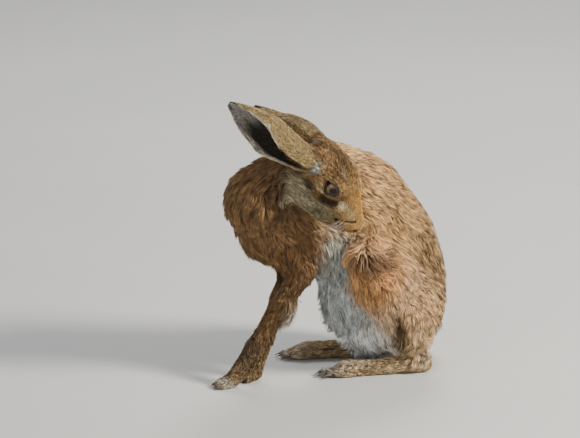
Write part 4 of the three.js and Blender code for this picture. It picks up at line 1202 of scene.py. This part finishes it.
# Rings of colour from the pupil out: pupil, iris, its dark edge, and the dark brown of the ball.
RING_STOPS = [
    (0.0, paint(10, 10, 12)),
    (PUPIL_REACH - 0.01, paint(10, 10, 12)),
    (PUPIL_REACH + 0.02, paint(98, 74, 46)),
    (0.8 * IRIS_REACH, paint(138, 110, 72)),
    (IRIS_REACH, paint(30, 20, 14)),
    (1.0, paint(26, 18, 14)),
]
STREAK_SHIFT = 0.03
glass = {"Roughness": 0.06, "Specular IOR Level": 0.22, "Coat Weight": 0.15, "Coat Roughness": 0.03}
eye_glass, tree, shader = new_material("eye_glass", glass)
streaks = result(tree, "TexNoise", "Fac", {"Scale": 700.0, "Detail": 2.0})
streak_shift = ranged(tree, streaks, 0.0, 1.0, -STREAK_SHIFT, STREAK_SHIFT)
from_pupil = kept_value(tree, "from_pupil")
shifted = result(tree, "Math", "Value", {0: from_pupil, 1: streak_shift}, operation="ADD")
tree.links.new(graded(tree, shifted, RING_STOPS), shader.inputs["Base Color"])

WET_TONES = [(0.0, paint(30, 23, 20)), (1.0, paint(62, 46, 38))]
wet_skin = speckled("wet_skin", 0.35, {"Scale": 600.0}, WET_TONES)


def grid_faces(rows, columns, closed_rows):
    """Four-cornered faces of a grid that closes on itself along its columns, and maybe its rows."""
    row, column = np.meshgrid(np.arange(rows if closed_rows else rows - 1), np.arange(columns), indexing="ij")
    next_row, next_column = (row + 1) % rows, (column + 1) % columns
    corners = [(row, column), (row, next_column), (next_row, next_column), (next_row, column)]
    return np.stack([at_row * columns + at_column for at_row, at_column in corners], -1).reshape(-1, 4)


def ball_mesh(name, middle, radius, way):
    """A ball whose rings lie round a way, with each corner's turn from that way as a share of a half turn."""
    other = unit(np.cross(way, HEAD_FORWARD))
    third = np.cross(way, other)
    turn = np.linspace(0, math.pi, EYE_RINGS)[:, None, None]
    around = np.linspace(0, 2 * math.pi, EYE_ROUND, endpoint=False)[None, :, None]
    sphere = np.cos(turn) * way + np.sin(turn) * (np.cos(around) * other + np.sin(around) * third)
    places = middle + radius / 1000 * sphere.reshape(-1, 3)
    mesh = mesh_of(name, places, grid_faces(EYE_RINGS, EYE_ROUND, False)[:, ::-1])
    mesh.validate()
    keep_values(mesh, "from_pupil", np.repeat(turn.ravel() / math.pi, EYE_ROUND))
    return mesh


for name, side in (("eye_right", -1.0), ("eye_left", 1.0)):
    middle = placed(in_head(EYE * [1, side, 1]))
    looks = (EYE_WAY * [1, side, 1]) @ HEAD_TURN
    ball = new_piece(f"{name}_ball", ball_mesh(name, middle, EYE_RADIUS, looks), eye_glass)
    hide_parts(name)

    # The rim runs round the almond, on the ball, a little thinner towards its two corners.
    rim_line = almond_line(RIM_STEPS)
    rim_out = unit(np.insert(rim_line, 1, 0.0, axis=1))
    height = (EYE_RADIUS + RIM_CLEARANCE) ** 2 - (rim_line**2).sum(1)
    rim_middle = np.insert(rim_line, 1, np.sqrt(np.maximum(height, RIM_LEAST_HEIGHT)), axis=1)
    rim_up = unit(rim_middle)
    rim_across = unit(rim_out - (rim_out * rim_up).sum(1)[:, None] * rim_up)
    from_corner = ALMOND_END - np.abs(rim_line[:, 0])
    slim = CORNER_SLIMNESS + (1 - CORNER_SLIMNESS) * smooth(0.0, SLIM_PART, from_corner)
    rings = []
    for angle in np.linspace(0, 2 * math.pi, RIM_SIDES, endpoint=False):
        outward = (slim * RIM_WIDTH * (RIM_OUTWARD + math.cos(angle)))[:, None] * rim_across
        upward = (slim * RIM_THICKNESS * (RIM_LIFT + math.sin(angle)))[:, None] * rim_up
        rings.append(rim_middle + outward + upward)
    rim_places = back_from_eye(np.concatenate(rings), side)
    rim_faces = grid_faces(RIM_SIDES, len(rim_line), True)
    rim_mesh = mesh_of(f"lid_rim_{name}", rim_places, rim_faces if side > 0 else rim_faces[:, ::-1])
    new_piece(f"{name}_rim", rim_mesh, wet_skin)

# The whiskers: long stiff hairs, white and black, rooted in rows on the upper lip, with a few over the eyes.
# Each is a thin round hair that tapers to its tip and droops a little.
WHISKER_ROOTS = [
    (44, 12.0, -9), (48, 11.5, -9.5), (52, 10.5, -10),
    (42, 13.0, -12.5), (46, 12.5, -13), (50, 11.5, -13.5), (54, 10.0, -13.5),
    (44, 13.0, -16), (48, 12.0, -16.5), (52, 11.0, -17),
]
BROW_ROOTS = [(8, 17, 13), (3, 18, 14), (-3, 18, 15)]
WHISKER_LENGTH = {"right": 44.0, "left": 26.0}
BROW_LENGTH = 22.0
BROW_WAY = np.array([-0.3, 0.6, 1.0])
LIP_WAY = np.array([-0.35, 1.0, -0.1])
MIDDLE_ROW, ROW_FAN = -13, np.array([0.0, 0.0, 0.06])  # higher rows point up more, lower ones less
WAY_SPREAD = 0.25
BROW_LENGTHS, WHISKER_LENGTHS = (0.8, 1.1), (0.75, 1.1)
ROOT_DEPTH = 3.0
DROOP = np.array([-0.16, 0.0, -0.12])
WHISKER_RADIUS = 0.17
WHISKER_RINGS = 9
WHISKER_SIDES = 5
TIP_TAPER = 0.85
WHISKER_TONES = [(0.4, paint(90, 82, 74)), (0.55, paint(206, 200, 188))]
whisker_horn = speckled("whisker_hair", 0.4, {"Scale": 120.0}, WHISKER_TONES)


def rod(line, radii, sides):
    """A closed round rod along a line: its corners and its three-cornered faces."""
    along = unit(np.gradient(line, axis=0))
    side = unit(np.cross(along, unit(np.array([0.3, 0.2, 0.93]))))
    up = np.cross(side, along)
    angles = np.linspace(0, 2 * math.pi, sides, endpoint=False)[None, :, None]
    rings = line[:-1, None] + radii[:-1, None, None] * (
        np.cos(angles) * side[:-1, None] + np.sin(angles) * up[:-1, None]
    )
    corners = np.concatenate([rings.reshape(-1, 3), line[-1:], line[:1]])
    last = (len(line) - 2) * sides
    tip, root = last + sides, last + sides + 1
    faces = []
    for k in range(sides):
        after = (k + 1) % sides
        for ring in range(0, last, sides):
            a, b = ring + k, ring + after
            faces += [(a, b, b + sides), (a, b + sides, a + sides)]
        faces += [(last + k, last + after, tip), (k, root, after)]
    return corners, np.array(faces)


for side_name, side in (("right", -1.0), ("left", 1.0)):
    hairs = []
    for is_brow, root in [(False, root) for root in WHISKER_ROOTS] + [(True, root) for root in BROW_ROOTS]:
        spread = random.uniform(-WAY_SPREAD, WAY_SPREAD, 3)
        if is_brow:
            way = unit(BROW_WAY + spread)
            length = BROW_LENGTH * random.uniform(*BROW_LENGTHS)
        else:
            way = unit(LIP_WAY + ROW_FAN * (root[2] - MIDDLE_ROW) + spread)
            length = WHISKER_LENGTH[side_name] * random.uniform(*WHISKER_LENGTHS)
        t = np.linspace(0, 1, WHISKER_RINGS)[:, None]
        start = np.array(root, float) - ROOT_DEPTH * way
        line = start + way * (length + ROOT_DEPTH) * t + DROOP * length * t**2
        radii = WHISKER_RADIUS / 1000 * (1 - TIP_TAPER * t[:, 0])
        hairs.append(rod(placed(in_head(line * [1, side, 1])), radii, WHISKER_SIDES))
    mesh = mesh_of(f"whiskers_{side_name}", *joined(hairs))
    new_piece(f"whiskers_{side_name}", mesh, whisker_horn)

# The claws: four on each foot, of dark brown horn, curved down and rooted in the ends of the toes. The hair
# of the toes hangs over them.
CLAW_RADIUS = 1.4
CLAW_RINGS = 9
CLAW_SIDES = 10
# Root, bend and point lie along a toe's line, in radii of the toe from the middle of its tip.
CLAW_ROOT, CLAW_BEND, CLAW_POINT = -0.3, 1.1, 1.6
BEND_RISE = 1.0
POINT_HEIGHT = 1.3
CLAW_TONES = [(0.0, paint(44, 36, 30)), (1.0, paint(128, 112, 94))]
claw_horn = speckled("claw_horn", 0.35, {"Scale": 500.0}, CLAW_TONES)

claws = []
for way, tip, radius in TOES:
    t = np.linspace(0, 1, CLAW_RINGS)[:, None]
    root, bend, point = (tip + reach * radius * way for reach in (CLAW_ROOT, CLAW_BEND, CLAW_POINT))
    bend[2] = tip[2] + BEND_RISE
    point[2] = POINT_HEIGHT
    line = (1 - t) ** 2 * root + 2 * t * (1 - t) * bend + t**2 * point
    radii = CLAW_RADIUS * (1 - TIP_TAPER * t[:, 0]) / 1000
    claws.append(rod(placed(line), radii, CLAW_SIDES))
new_piece("claws", mesh_of("claws", *joined(claws)), claw_horn)
